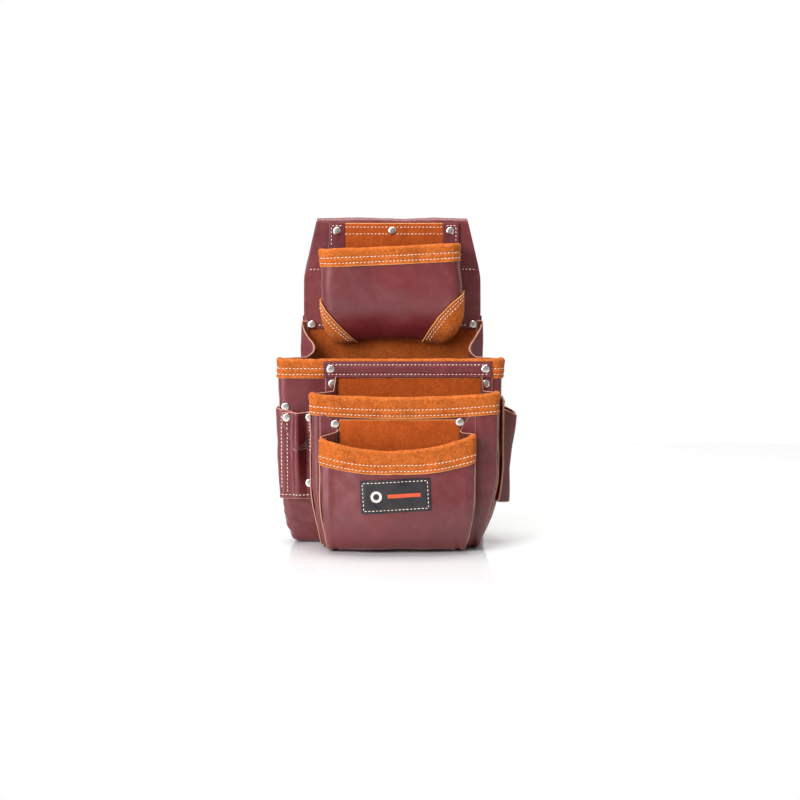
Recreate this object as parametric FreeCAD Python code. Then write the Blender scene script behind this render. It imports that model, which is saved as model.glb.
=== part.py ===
"""Leather electrician's tool pouch: four stacked pockets, two side tool sleeves and a belt tunnel.

Millimetres. +Z is up, -Y is the front, and +X is to the right when seen from the front.
The pouch is drawn with X = 0 on the middle of its back, Y = 0 between its front and rear back
leathers and Z = 0 at its foot, and is centred over the origin at the end.
"""
import FreeCAD, Part
import math
import os

V = FreeCAD.Vector

# ---- leather ---------------------------------------------------------------------------------
HIDE = 2.2                      # grain leather, and the heavy suede behind the main pocket
SUEDE = 1.6                     # light suede of the other backings and the bindings

# ---- feet: every pocket draws in below FOOT_LEVELS[-1] -----------------------------------------
FOOT_LEVELS = (0.0, 10.0, 30.0, 65.0)
FOOT_INSET = (14.0, 9.5, 4.0, 0.0)
FACE_SHARE = 0.3                # each outer pocket gets shallower by this share of the inset

# ---- back ------------------------------------------------------------------------------------
HEIGHT = 370.0
TOP_HALF = 86.0
BACK_HALF = 102.0
SHOULDER_Z = 303.0              # the top tapers from here up
BACK_JOIN_Z = 241.5             # upper back leather above, suede backing below
LOWER_BACK_TOP = 256.0
LOWER_BACK_HALF = 103.5
LOWER_CORNER = 14.0
TUNNEL_GAP = 8.0                # room for the belt's thickness
TUNNEL_SEAM_TOP = 314.0         # the flap lies on the panel below here
TUNNEL_SLOPE = 8.0
TUNNEL_FLAP_FOOT = 304.0
TUNNEL_BENDS = (5.0, 5.0, 7.0, 5.0)
TUNNEL_SEWN_GAP = 0.1           # hair gap that keeps the folded sheet one clean solid

# ---- main pocket -----------------------------------------------------------------------------
MAIN_X = -2.0
MAIN_HALF = 127.0
MAIN_DEPTH = 72.0
MAIN_RIM = 213.0
MAIN_RETURN = 20.0              # the front leather turns this far back along each side
MAIN_CORNER = 5.0
MAIN_BINDING = 19.0
MAIN_PLEAT = 28.0               # how far the gussets fold in at the rim
MAIN_PLEAT_FOOT = 3.0
GUSSET_FLANGE = (87.0, 103.0)   # sewn strip of each gusset on the back, out from X = 0
MAIN_GUSSET_TOP = 253.0
MAIN_GUSSET_BENDS = (3.2, 6.0, 3.2)
MAIN_GUSSET_LEAD = 5.0          # runs straight this far behind its seam with the front leather
MAIN_SLOPE = ((-9.0, 248.0), (-30.0, 219.0))    # bends of the gussets' top edge, (y, z)
BAND = (-76.5, 112.0, 194.0, 210.0)             # left, right, foot and top

# ---- middle and front pockets ------------------------------------------------------------------
SMALL_GUSSET_LEAD = 4.0         # as MAIN_GUSSET_LEAD
SMALL_GUSSET_BENDS = (3.0, 2.6)                 # at the flange, and near the seam
FLANGE_LEVEL = 0.5              # the top edge stays level this far ahead of the flange

# ---- middle pocket ---------------------------------------------------------------------------
MIDDLE_X = 14.0
MIDDLE_HALF = 104.0
MIDDLE_DEPTH = 38.0
MIDDLE_RIM = ((-95.0, 176.0), (14.0, 175.0), (123.0, 178.0))
MIDDLE_RETURN = 15.0
MIDDLE_CORNER = 11.0
MIDDLE_BINDING = 21.0
MIDDLE_BINDING_FROM = 140.0     # below its lower edge
MIDDLE_FLANGE = ((-62.0, -77.0), (100.0, 113.0))
MIDDLE_FLANGE_TOP = 193.5

# ---- front pocket ----------------------------------------------------------------------------
FRONT_X = 6.0
FRONT_HALF = 85.0
FRONT_DEPTH = 30.0
FRONT_BOW = 9.0                 # how far its middle stands ahead of its corners
FRONT_BOW_R = 150.0
FRONT_BOW_FLAT = 0.45           # share of its half width that stays flat
FRONT_RIM = ((-84.0, 131.0), (4.0, 119.5), (96.0, 136.0))
FRONT_RETURN = 9.0
FRONT_CORNER = 8.0
FRONT_BINDING = 21.0
FRONT_BINDING_FROM = 90.0       # below its lower edge
FRONT_FLANGE = ((-55.0, -71.0), (68.0, 84.0))
FRONT_FLANGE_TOP = 153.5        # just under the middle pocket's binding
LABEL = (-36.0, 41.0, 50.0, 88.0)               # left, right, foot and top
LABEL_THICK = 1.2

# ---- upper pocket ----------------------------------------------------------------------------
UPPER_LEVELS = (226.0, 245.0, 268.0, 345.0)
UPPER_HALVES = (50.0, 70.0, 78.0, 80.5)
UPPER_DEPTHS = (16.0, 33.0, 43.0, 46.0)
UPPER_RETURN = 14.0
UPPER_CORNER_R = 9.0
UPPER_RIM = ((-84.0, 334.0), (0.0, 336.5), (84.0, 341.0))
UPPER_BINDING = 18.0
UPPER_BINDING_FROM = 300.0      # below its lower edge
UPPER_EAR = (55.0, 73.0)
UPPER_EAR_FOOT = 305.0
UPPER_EAR_BEND = 345.0
UPPER_EAR_TOP = 363.0
LEAF_SLANT = ((86.0, 288.0), (40.0, 224.0))     # seam of each suede corner, (x, z)

# ---- left sleeve -----------------------------------------------------------------------------
LEFT_FOOT = 55.0
LEFT_TOP = 164.0
LEFT_MOUTH = 111.0              # its tube is cut away above this
LEFT_TUBE = (-113.5, -99.5)
LEFT_TUBE_SLANT = 2.0           # its sides lean in by this much
LEFT_TUBE_BENDS = [2.6] * 4
LEFT_NOTCH = 2.2                # and this far beside it
LEFT_END = -88.8
LEFT_RISE = 9.0                 # how far the tube stands out, from LEFT_RISE_TOP up
LEFT_RISE_TOP = 100.0
LEFT_FOOT_RISE = 1.0
LOOP_TOP = 153.0
LOOP_EARS = (-123.9, -88.9)
LOOP_POINT = (-107.0, 112.0)
LOOP_EAR_FOOT = 141.0

# ---- right sleeve ----------------------------------------------------------------------------
RIGHT_FOOT = 49.0
RIGHT_BACK_TOP = 167.0
RIGHT_MOUTH = (157.0, 147.0)    # at the pouch, and at the outer edge
RIGHT_Y = (-70.0, -35.0)
RIGHT_LEVELS = (49.0, 65.0, 90.0, 160.0)
RIGHT_FLARES = (9.5, 9.5, 10.5, 17.5)
RIGHT_BENDS = [5.0, 5.0]
RIGHT_REACH = 20.0              # past its outer edge

# ---- rivets ----------------------------------------------------------------------------------
CAP_R = 4.75
CAP_RISE = 2.0
CAP_DOME_R = 8.0
POST_R = 1.6
WASHER_R = 4.2
WASHER_RISE = 1.2
UPPER_RIVET_X = 64.0            # one each side, and one in the middle
UPPER_RIVET_Z = 355.0
MAIN_RIVET_X = 92.6             # one each side
MAIN_RIVET_Z = 247.0
BAND_RIVET_INSET = 7.0          # in from each end of the band, at its mid height
MIDDLE_RIVETS = (-68.5, 105.3)
MIDDLE_RIVET_Z = 186.0
FRONT_RIVETS = (-62.5, 74.5)
FRONT_RIVET_Z = 148.5
LEFT_UPPER_RIVET = (-120.2, 159.0)              # alone on the main front, (x, z)
LOOP_RIVETS = (-120.2, -92.7)
LOOP_RIVET_Z = 147.5
LEFT_LOWER_RIVET = (-93.2, 72.0)                # on the sleeve's right edge, (x, z)
RIGHT_RIVET = (-62.0, 162.0)                    # (y, z)

FAR = 400.0                     # past every face of the pouch
ABOVE_RIM = 60.0                # height of leather cleared away above a rim
RIM_SPARE = 10.0                # leather is made this far past its rim, then cut to it
BINDING_SPARE = 8.0
TINY = 1e-6


# ---- geometry helpers ------------------------------------------------------------------------
def between(value, xs, ys):
    """Straight-line interpolation in a table, level beyond its ends."""
    if value <= xs[0]:
        return ys[0]
    for x0, x1, y0, y1 in zip(xs, xs[1:], ys, ys[1:]):
        if value <= x1:
            return y0 + (y1 - y0) * (value - x0) / (x1 - x0)
    return ys[-1]


def inset(z):
    return between(z, FOOT_LEVELS, FOOT_INSET)


def levels(low, high, steps=FOOT_LEVELS):
    return [low] + [z for z in steps if low < z < high] + [high]


def directions(points):
    found = []
    for (x0, y0), (x1, y1) in zip(points, points[1:]):
        run = math.hypot(x1 - x0, y1 - y0)
        found.append(((x1 - x0) / run, (y1 - y0) / run))
    return found


def offset_edges(points, radii, distance):
    """Lines and tangent arcs along a path, moved to its left by distance. Returns pairs of 2-D points
    for lines and triples for arcs."""
    ways = directions(points)
    spots = [(points[0][0] - distance * ways[0][1], points[0][1] + distance * ways[0][0])]
    for point, a, b in zip(points[1:-1], ways, ways[1:]):
        share = distance / (1.0 + a[0] * b[0] + a[1] * b[1])
        spots.append((point[0] - share * (a[1] + b[1]), point[1] + share * (a[0] + b[0])))
    last = ways[-1]
    spots.append((points[-1][0] - distance * last[1], points[-1][1] + distance * last[0]))
    pieces = []
    start = spots[0]
    for spot, a, b, radius in zip(spots[1:-1], ways, ways[1:], radii):
        turn = math.atan2(a[0] * b[1] - a[1] * b[0], a[0] * b[0] + a[1] * b[1])
        side = 1.0 if turn > 0 else -1.0
        bend = radius - side * distance
        reach = bend * math.tan(abs(turn) / 2)
        into = (spot[0] - reach * a[0], spot[1] - reach * a[1])
        out = (spot[0] + reach * b[0], spot[1] + reach * b[1])
        middle = ((b[0] - a[0]), (b[1] - a[1]))
        size = math.hypot(*middle)
        sag = bend / math.cos(turn / 2) - bend
        top = (spot[0] + sag * middle[0] / size, spot[1] + sag * middle[1] / size)
        pieces += [(start, into), (into, top, out)]
        start = out
    return pieces + [(start, spots[-1])]


def path_edges(pieces, place):
    """Edges of a path's pieces. place turns a 2-D point into a vector."""
    edges = []
    for piece in pieces:
        spots = [place(p) for p in piece]
        edges.append(Part.makeLine(*spots) if len(piece) == 2 else Part.Arc(*spots).toShape())
    return edges


def ribbon(path, near, far, place):
    """Closed wire between two offsets of a path."""
    points, radii = path
    first = offset_edges(points, radii, near)
    second = offset_edges(points, radii, far)
    end = [(first[-1][-1], second[-1][-1])]
    start = [(second[0][0], first[0][0])]
    back = [piece[::-1] for piece in reversed(second)]
    return Part.Wire(path_edges(first + end + back + start, place))


def wall(path_at, heights, near=0.0, far=HIDE):
    """Leather standing along a plan path at each height, straight from one height to the next."""
    wires = [ribbon(path_at(z), near, far, lambda p, z=z: V(p[0], p[1], z)) for z in heights]
    return Part.makeLoft(wires, True, True)


def sole(path_at, rear_at, low):
    """Bottom leather one hide thick, out to the middle of the wall on a plan path. rear_at gives its
    two rear corners' X and their Y at a height."""
    wires = []
    for z in (low, low + HIDE):
        points, radii = path_at(z)
        left, right, y = rear_at(z)
        pieces = offset_edges(points, radii, HIDE / 2)
        corners = [pieces[-1][-1], (right, y), (left, y), pieces[0][0]]
        for a, b in zip(corners, corners[1:]):
            if math.dist(a, b) > TINY:
                pieces.append((a, b))
        wires.append(Part.Wire(path_edges(pieces, lambda p, z=z: V(p[0], p[1], z))))
    return Part.makeLoft(wires, True, True)


def box(x0, x1, y0, y1, z0, z1):
    return Part.makeBox(x1 - x0, y1 - y0, z1 - z0, V(x0, y0, z0))


def front_region(corners):
    """Everything behind and ahead of a polygon drawn in the front view as (x, z)."""
    wire = Part.makePolygon([V(x, -FAR, z) for x, z in corners + corners[:1]])
    return Part.Face(wire).extrude(V(0, 2 * FAR, 0))


def side_region(corners):
    """Everything beside a polygon drawn in the side view as (y, z)."""
    wire = Part.makePolygon([V(-FAR, y, z) for y, z in corners + corners[:1]])
    return Part.Face(wire).extrude(V(2 * FAR, 0, 0))


def rim_region(rim, upper, lower):
    """Front-view band between two heights measured from a rim that bows through three points."""
    edges = []
    ends = []
    for lift in (upper, lower):
        spots = [V(x, -FAR, z + lift) for x, z in rim]
        edges.append(Part.Arc(*spots).toShape())
        ends.append((spots[0], spots[-1]))
    edges.append(Part.makeLine(ends[0][0], ends[1][0]))
    edges.append(Part.makeLine(ends[0][1], ends[1][1]))
    return Part.Face(Part.Wire(Part.__sortEdges__(edges))).extrude(V(0, 2 * FAR, 0))


def biggest(shape):
    return max(shape.Solids, key=lambda solid: solid.Volume)


# ---- plan paths of the pockets: from the rear left, round the front, to the rear right -----------
def main_front_y(z):
    return -(MAIN_DEPTH - inset(z))


def middle_front_y(z):
    return main_front_y(z) - MIDDLE_DEPTH + FACE_SHARE * inset(z)


def front_front_y(z):
    return middle_front_y(z) - FRONT_DEPTH + FACE_SHARE * inset(z)


def cup(centre, half, y, back, corner):
    """Plan of a pocket's front leather: a flat front with its two sides turned back."""
    left, right = centre - half, centre + half
    return [(left, y + back), (left, y), (right, y), (right, y + back)], [corner, corner]


def main_cup(z):
    return cup(MAIN_X, MAIN_HALF - inset(z), main_front_y(z), MAIN_RETURN, MAIN_CORNER)


def middle_cup(z):
    return cup(MIDDLE_X, MIDDLE_HALF - inset(z), middle_front_y(z), MIDDLE_RETURN, MIDDLE_CORNER)


def front_cup(z):
    half = FRONT_HALF - inset(z)
    y = front_front_y(z)
    flat = FRONT_BOW_FLAT * half
    left, right = FRONT_X - half, FRONT_X + half
    corner_y = y + FRONT_BOW
    points = [(left, corner_y + FRONT_RETURN), (left, corner_y), (FRONT_X - flat, y),
              (FRONT_X + flat, y), (right, corner_y), (right, corner_y + FRONT_RETURN)]
    return points, [FRONT_CORNER, FRONT_BOW_R, FRONT_BOW_R, FRONT_CORNER]


def upper_cup(z):
    depth = between(z, UPPER_LEVELS, UPPER_DEPTHS)
    return cup(0.0, between(z, UPPER_LEVELS, UPPER_HALVES), -HIDE - depth, depth, UPPER_CORNER_R)


def upper_rear(z):
    points, _ = upper_cup(z)
    return points[0][0] + HIDE / 2, points[-1][0] - HIDE / 2, -HIDE


def sided(side, points, radii):
    """A left-hand path as it is, or mirrored and run the other way for the right."""
    if side < 0:
        return points, radii
    return [(-x, y) for x, y in reversed(points)], radii[::-1]


# ---- back ------------------------------------------------------------------------------------
def upper_back_panel():
    """Upper back leather with its top folded over to the rear and sewn down as the belt tunnel."""
    rear = TUNNEL_GAP + HIDE
    sewn = TUNNEL_SEWN_GAP + HIDE
    profile = [(-HIDE, BACK_JOIN_Z), (-HIDE, HEIGHT), (rear, HEIGHT),
               (rear, TUNNEL_SEAM_TOP + TUNNEL_SLOPE), (sewn, TUNNEL_SEAM_TOP),
               (sewn, TUNNEL_FLAP_FOOT)]
    section = ribbon((profile, TUNNEL_BENDS), 0.0, -HIDE, lambda p: V(-FAR, p[0], p[1]))
    sheet = Part.Face(section).extrude(V(2 * FAR, 0, 0))
    outline = [(-BACK_HALF, BACK_JOIN_Z), (BACK_HALF, BACK_JOIN_Z), (BACK_HALF, SHOULDER_Z),
               (TOP_HALF, HEIGHT), (-TOP_HALF, HEIGHT), (-BACK_HALF, SHOULDER_Z)]
    return sheet.common(front_region(outline))


def lower_back_panel():
    plate = box(-LOWER_BACK_HALF, LOWER_BACK_HALF, 0, HIDE, 0, LOWER_BACK_TOP)
    corners = [e for e in plate.Edges if e.BoundBox.ZMax < TINY and e.BoundBox.XLength < TINY]
    return plate.makeFillet(LOWER_CORNER, corners)


def main_pocket_backing():
    return box(-BACK_HALF, BACK_HALF, -HIDE, 0, HIDE, BACK_JOIN_Z)


# ---- main pocket -----------------------------------------------------------------------------
def main_pocket_front():
    front = wall(main_cup, levels(0.0, MAIN_RIM))
    rear = GUSSET_FLANGE[1]
    return front.fuse(sole(main_cup, lambda z: (-rear, rear, 0.0), 0.0)).removeSplitter()


def main_gusset_path(side, z):
    half = MAIN_HALF - inset(z)
    outer = half + side * MAIN_X
    seam_y = main_front_y(z) + MAIN_RETURN
    rear_x = GUSSET_FLANGE[1]
    fold_in = between(z, (FOOT_LEVELS[-1], MAIN_RIM), (MAIN_PLEAT_FOOT, MAIN_PLEAT))
    fold = ((rear_x + outer) / 2 - fold_in, (seam_y - HIDE) / 2)
    sides = [fold, (outer, seam_y + MAIN_GUSSET_LEAD), (outer, seam_y)]
    points = [(-GUSSET_FLANGE[0], -HIDE), (-rear_x, -HIDE)] + [(-x, y) for x, y in sides]
    return sided(side, points, MAIN_GUSSET_BENDS)


def main_pocket_gusset(side):
    top = MAIN_GUSSET_TOP
    body = wall(lambda z: main_gusset_path(side, z), levels(HIDE, top, FOOT_LEVELS + (MAIN_RIM,)))
    seam_y = -MAIN_DEPTH + MAIN_RETURN
    slope = [(-FAR, -FAR), (0, -FAR), (0, top), MAIN_SLOPE[0], MAIN_SLOPE[1], (seam_y, MAIN_RIM),
             (-FAR, MAIN_RIM)]
    return body.common(side_region(slope))


def binding(path_at, rim, height, low, leather):
    """Suede folded over a pocket's rim, inside and out."""
    top = max(z for _, z in rim) + BINDING_SPARE
    thick = wall(path_at, [low, top], -SUEDE, HIDE + SUEDE)
    return biggest(thick.common(rim_region(rim, SUEDE, -height)).cut(leather))


def main_pocket_binding(leather):
    thick = wall(main_cup, [MAIN_RIM - MAIN_BINDING, MAIN_RIM + SUEDE], -SUEDE, HIDE + SUEDE)
    return thick.cut(leather)


def rim_band():
    x0, x1, z0, z1 = BAND
    face = -MAIN_DEPTH - SUEDE
    return box(x0, x1, face - HIDE, face, z0, z1)


# ---- middle and front pockets -----------------------------------------------------------------
def trimmed_front(path_at, flanges, flange_y, rim):
    """Front leather with its sole, cut to a bowed rim."""
    top = max(z for _, z in rim) + RIM_SPARE
    front = wall(path_at, levels(0.0, top)).cut(rim_region(rim, ABOVE_RIM, 0.0))
    left, right = flanges[0][1], flanges[1][1]
    bottom = sole(path_at, lambda z: (left + inset(z), right - inset(z), flange_y(z)), 0.0)
    return front.fuse(bottom).removeSplitter()


def pocket_gusset(side, path_at, flanges, flange_y, flange_top, rim_end):
    """Side of the middle or front pocket. path_at is the plan of its front leather."""
    inner, outer = flanges[0 if side < 0 else 1]

    def plan(z):
        points, _ = path_at(z)
        seam_x, seam_y = points[0] if side < 0 else points[-1]
        draw = side * inset(z)
        line = [(inner - draw, flange_y(z)), (outer - draw, flange_y(z)),
                (seam_x, seam_y + SMALL_GUSSET_LEAD), (seam_x, seam_y)]
        bends = SMALL_GUSSET_BENDS
        return (line, bends) if side < 0 else (line[::-1], bends[::-1])

    body = wall(plan, levels(HIDE, flange_top))
    seam_y = path_at(flange_top)[0][0][1]
    rear_y = flange_y(flange_top)
    slope = [(-FAR, -FAR), (FAR, -FAR), (FAR, flange_top), (rear_y - HIDE - FLANGE_LEVEL, flange_top),
             (seam_y, rim_end), (-FAR, rim_end)]
    return body.common(side_region(slope))


def pocket_backing(flanges, flange_y, top):
    """Suede between the two flanges."""
    x0, x1 = flanges[0][0], flanges[1][0]

    def plan(z):
        return [(x0 + inset(z), flange_y(z)), (x1 - inset(z), flange_y(z))], []

    return wall(plan, levels(HIDE, top), -SUEDE, 0.0)


def middle_pocket():
    front = trimmed_front(middle_cup, MIDDLE_FLANGE, main_front_y, MIDDLE_RIM)
    parts = {"middle_pocket_front": front}
    for side, name in ((-1, "left"), (1, "right")):
        parts["middle_pocket_gusset_" + name] = pocket_gusset(
            side, middle_cup, MIDDLE_FLANGE, main_front_y, MIDDLE_FLANGE_TOP, MIDDLE_RIM[1 + side][1])
    parts["middle_pocket_backing"] = pocket_backing(MIDDLE_FLANGE, main_front_y, MIDDLE_FLANGE_TOP)
    parts["middle_pocket_binding"] = binding(middle_cup, MIDDLE_RIM, MIDDLE_BINDING, MIDDLE_BINDING_FROM,
                                             front)
    return parts


def front_pocket():
    front = trimmed_front(front_cup, FRONT_FLANGE, middle_front_y, FRONT_RIM)
    parts = {"front_pocket_front": front}
    for side, name in ((-1, "left"), (1, "right")):
        parts["front_pocket_gusset_" + name] = pocket_gusset(
            side, front_cup, FRONT_FLANGE, middle_front_y, FRONT_FLANGE_TOP, FRONT_RIM[1 + side][1])
    parts["front_pocket_backing"] = pocket_backing(FRONT_FLANGE, middle_front_y, FRONT_FLANGE_TOP)
    parts["front_pocket_binding"] = binding(front_cup, FRONT_RIM, FRONT_BINDING, FRONT_BINDING_FROM, front)
    return parts


def label_patch():
    x0, x1, z0, z1 = LABEL
    return wall(front_cup, levels(z0, z1), -LABEL_THICK, 0.0).common(box(x0, x1, -FAR, 0, z0, z1))


# ---- upper pocket ----------------------------------------------------------------------------
def upper_pocket():
    """Leather front with ears, slanting suede corners, bound rim and suede backing."""
    low, high = UPPER_LEVELS[0], UPPER_LEVELS[-1]
    bucket = wall(upper_cup, levels(low, high, UPPER_LEVELS)).cut(rim_region(UPPER_RIM, ABOVE_RIM, 0.0))
    bucket = bucket.fuse(sole(upper_cup, upper_rear, low)).removeSplitter()
    (out_x, out_z), (in_x, in_z) = LEAF_SLANT
    parts = {}
    front = bucket
    for side, name in ((-1, "left"), (1, "right")):
        leaf = front_region([(side * out_x, out_z), (side * in_x, in_z), (side * FAR, in_z),
                             (side * FAR, out_z)])
        parts["upper_pocket_corner_" + name] = biggest(bucket.common(leaf))
        front = front.cut(leaf)
    inner, outer = UPPER_EAR
    for side in (-1, 1):
        ear = front_region([(side * inner, UPPER_EAR_TOP), (side * outer, UPPER_EAR_TOP),
                            (side * outer, UPPER_EAR_BEND), (side * UPPER_HALVES[-2], UPPER_EAR_FOOT),
                            (side * inner, UPPER_EAR_FOOT)])
        front = front.fuse(ear.common(box(-FAR, FAR, -2 * HIDE, -HIDE, 0, HEIGHT)))
    parts["upper_pocket_front"] = biggest(front.removeSplitter())
    parts["upper_pocket_backing"] = box(-inner, inner, -HIDE - SUEDE, -HIDE, UPPER_LEVELS[1],
                                         UPPER_EAR_TOP)

    def rim_path(z):
        half = between(z, UPPER_LEVELS, UPPER_HALVES)
        y = -HIDE - between(z, UPPER_LEVELS, UPPER_DEPTHS)
        return cup(0.0, half, y, UPPER_RETURN, UPPER_CORNER_R)

    leather = parts["upper_pocket_front"]
    parts["upper_pocket_binding"] = binding(rim_path, UPPER_RIM, UPPER_BINDING, UPPER_BINDING_FROM,
                                            leather)
    return parts


# ---- sleeves ---------------------------------------------------------------------------------
def left_sleeve_path(z):
    """Round the main pocket's left front corner, then out and back as a tube."""
    left = MAIN_X - MAIN_HALF + inset(z)
    y = main_front_y(z)
    rise = between(z, (LEFT_FOOT, LEFT_RISE_TOP), (LEFT_FOOT_RISE, LEFT_RISE))
    x0, x1 = LEFT_TUBE
    points = [(left, y + MAIN_RETURN), (left, y), (x0, y), (x0 + LEFT_TUBE_SLANT, y - rise),
              (x1 - LEFT_TUBE_SLANT, y - rise), (x1, y), (LEFT_END, y)]
    return points, [MAIN_CORNER] + LEFT_TUBE_BENDS


def left_sleeve_panel():
    panel = wall(left_sleeve_path, levels(LEFT_FOOT, LEFT_TOP, (FOOT_LEVELS[-1], LEFT_RISE_TOP)), -HIDE, 0.0)
    x0, x1 = LEFT_TUBE
    x0, x1 = x0 - LEFT_NOTCH, x1 + LEFT_NOTCH
    notch = front_region([(x0, LEFT_MOUTH), (x1, LEFT_MOUTH), (x1, FAR), (x0, FAR)])
    slope = front_region([(-FAR, LEFT_TOP), (x0, LOOP_TOP), (FAR, LOOP_TOP), (FAR, FAR), (-FAR, FAR)])
    return panel.cut(notch.fuse(slope))


def left_tool_loop():
    """Strap bowed out above the tube's mouth, with a pointed lower edge."""
    y = -MAIN_DEPTH - HIDE
    x0, x1 = LEFT_TUBE
    plan = ([(LOOP_EARS[0], y), (x0, y), (x0 + LEFT_TUBE_SLANT, y - LEFT_RISE),
             (x1 - LEFT_TUBE_SLANT, y - LEFT_RISE), (x1, y), (LOOP_EARS[1], y)], LEFT_TUBE_BENDS)
    strap = wall(lambda z: plan, [LOOP_POINT[1], LOOP_TOP], -HIDE, 0.0)
    outline = [(LOOP_EARS[0], LOOP_TOP), (LOOP_EARS[0], LOOP_EAR_FOOT), LOOP_POINT,
               (LOOP_EARS[1], LOOP_EAR_FOOT), (LOOP_EARS[1], LOOP_TOP)]
    return strap.common(front_region(outline))


def right_sleeve_face(z):
    return MAIN_X + MAIN_HALF - inset(z)


def right_sleeve_back():
    y0, y1 = RIGHT_Y

    def plan(z):
        x = right_sleeve_face(z)
        return [(x, y0), (x, y1)], []

    return wall(plan, levels(RIGHT_FOOT, RIGHT_BACK_TOP), -HIDE, 0.0)


def right_sleeve_front():
    y0, y1 = RIGHT_Y

    def plan(z):
        x = right_sleeve_face(z) + HIDE
        out = x + between(z, RIGHT_LEVELS, RIGHT_FLARES)
        return [(x, y0), (out, y0), (out, y1), (x, y1)], RIGHT_BENDS

    tube = wall(plan, RIGHT_LEVELS)
    near = MAIN_X + MAIN_HALF
    past = near + RIGHT_REACH
    slope = front_region([(near, RIGHT_MOUTH[0]), (past, RIGHT_MOUTH[1]), (past, FAR), (near, FAR)])
    return tube.cut(slope)


# ---- rivets ----------------------------------------------------------------------------------
def rivet(spot, grip, inward):
    """A domed rivet at a point on the outer face, through grip of leather, with a rear washer.
    Returns the solid and its post."""
    cap = Part.makeSphere(CAP_DOME_R, spot + inward * (CAP_DOME_R - CAP_RISE))
    cap = cap.common(Part.makeCylinder(CAP_R, CAP_RISE, spot, inward * -1))
    post = Part.makeCylinder(POST_R, grip, spot, inward)
    back = Part.makeCylinder(WASHER_R, WASHER_RISE, spot + inward * grip, inward)
    return cap.fuse(post).fuse(back).removeSplitter(), post


def fasten(parts, name, through, rivets):
    """Adds one group of rivets, and their holes in the leathers they go through."""
    made = []
    for spot, grip, inward in rivets:
        solid, post = rivet(V(*spot), grip, V(*inward))
        made.append(solid)
        for node in through:
            if parts[node].BoundBox.intersect(post.BoundBox):
                parts[node] = parts[node].cut(post)
    parts[name] = Part.Compound(made)


def add_rivets(parts):
    rear = (0, 1, 0)
    ears = [((x, -2 * HIDE, UPPER_RIVET_Z), 2 * HIDE, rear) for x in (-UPPER_RIVET_X, UPPER_RIVET_X)]
    middle = ((0.0, -HIDE - SUEDE, UPPER_RIVET_Z), HIDE + SUEDE, rear)
    fasten(parts, "rivets_upper_pocket", ["upper_pocket_front", "upper_pocket_backing", "upper_back_panel"],
           [ears[0], middle, ears[1]])
    fasten(parts, "rivets_main_pocket",
           ["main_pocket_gusset_left", "main_pocket_gusset_right", "upper_back_panel", "lower_back_panel"],
           [((x, -2 * HIDE, MAIN_RIVET_Z), 3 * HIDE, rear) for x in (-MAIN_RIVET_X, MAIN_RIVET_X)])
    face = -MAIN_DEPTH
    x0, x1, z0, z1 = BAND
    fasten(parts, "rivets_rim_band", ["rim_band", "main_pocket_binding", "main_pocket_front"],
           [((x, face - SUEDE - HIDE, (z0 + z1) / 2), 2 * (HIDE + SUEDE), rear)
            for x in (x0 + BAND_RIVET_INSET, x1 - BAND_RIVET_INSET)])
    fasten(parts, "rivets_middle_pocket",
           ["middle_pocket_gusset_left", "middle_pocket_gusset_right", "main_pocket_front"],
           [((x, face - HIDE, MIDDLE_RIVET_Z), 2 * HIDE, rear) for x in MIDDLE_RIVETS])
    face = middle_front_y(FRONT_FLANGE_TOP)
    fasten(parts, "rivets_front_pocket",
           ["front_pocket_gusset_left", "front_pocket_gusset_right", "middle_pocket_front"],
           [((x, face - HIDE, FRONT_RIVET_Z), 2 * HIDE, rear) for x in FRONT_RIVETS])
    face = -MAIN_DEPTH - HIDE
    upper_x, upper_z = LEFT_UPPER_RIVET
    lower_x, lower_z = LEFT_LOWER_RIVET
    fasten(parts, "rivets_left_sleeve", ["left_sleeve_panel", "left_tool_loop", "main_pocket_front"],
           [((upper_x, -MAIN_DEPTH, upper_z), HIDE, rear),
            ((LOOP_RIVETS[0], face - HIDE, LOOP_RIVET_Z), 3 * HIDE, rear),
            ((LOOP_RIVETS[1], face - HIDE, LOOP_RIVET_Z), 3 * HIDE, rear),
            ((lower_x, face, lower_z), 2 * HIDE, rear)])
    side = right_sleeve_face(RIGHT_BACK_TOP) + HIDE
    fasten(parts, "rivets_right_sleeve", ["right_sleeve_back", "main_pocket_front"],
           [((side, RIGHT_RIVET[0], RIGHT_RIVET[1]), 2 * HIDE, (-1, 0, 0))])


# ---- assembly --------------------------------------------------------------------------------
def build():
    front = main_pocket_front()
    parts = {
        "upper_back_panel": upper_back_panel(),
        "lower_back_panel": lower_back_panel(),
        "main_pocket_backing": main_pocket_backing(),
        "main_pocket_front": front,
        "main_pocket_gusset_left": main_pocket_gusset(-1),
        "main_pocket_gusset_right": main_pocket_gusset(1),
        "main_pocket_binding": main_pocket_binding(front),
        "rim_band": rim_band(),
        "label_patch": label_patch(),
        "left_sleeve_panel": left_sleeve_panel(),
        "left_tool_loop": left_tool_loop(),
        "right_sleeve_back": right_sleeve_back(),
        "right_sleeve_front": right_sleeve_front(),
    }
    parts.update(middle_pocket())
    parts.update(front_pocket())
    parts.update(upper_pocket())
    add_rivets(parts)
    return parts


def stand_on_origin(parts):
    """Moves every part so that the whole stands centred over the origin."""
    whole = FreeCAD.BoundBox()
    for shape in parts.values():
        whole.add(shape.optimalBoundingBox(False))
    move = V(-whole.Center.x, -whole.Center.y, -whole.ZMin)
    for shape in parts.values():
        shape.translate(move)
    print("moved by", move, "size", whole.XLength, whole.YLength, whole.ZLength)


def main():
    os.makedirs("parts", exist_ok=True)
    parts = build()
    stand_on_origin(parts)
    for name, shape in sorted(parts.items()):
        shape.exportStep(os.path.join("parts", name + ".step"))
        print(name, shape.isValid(), len(shape.Solids), round(shape.Volume))


main()
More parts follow.
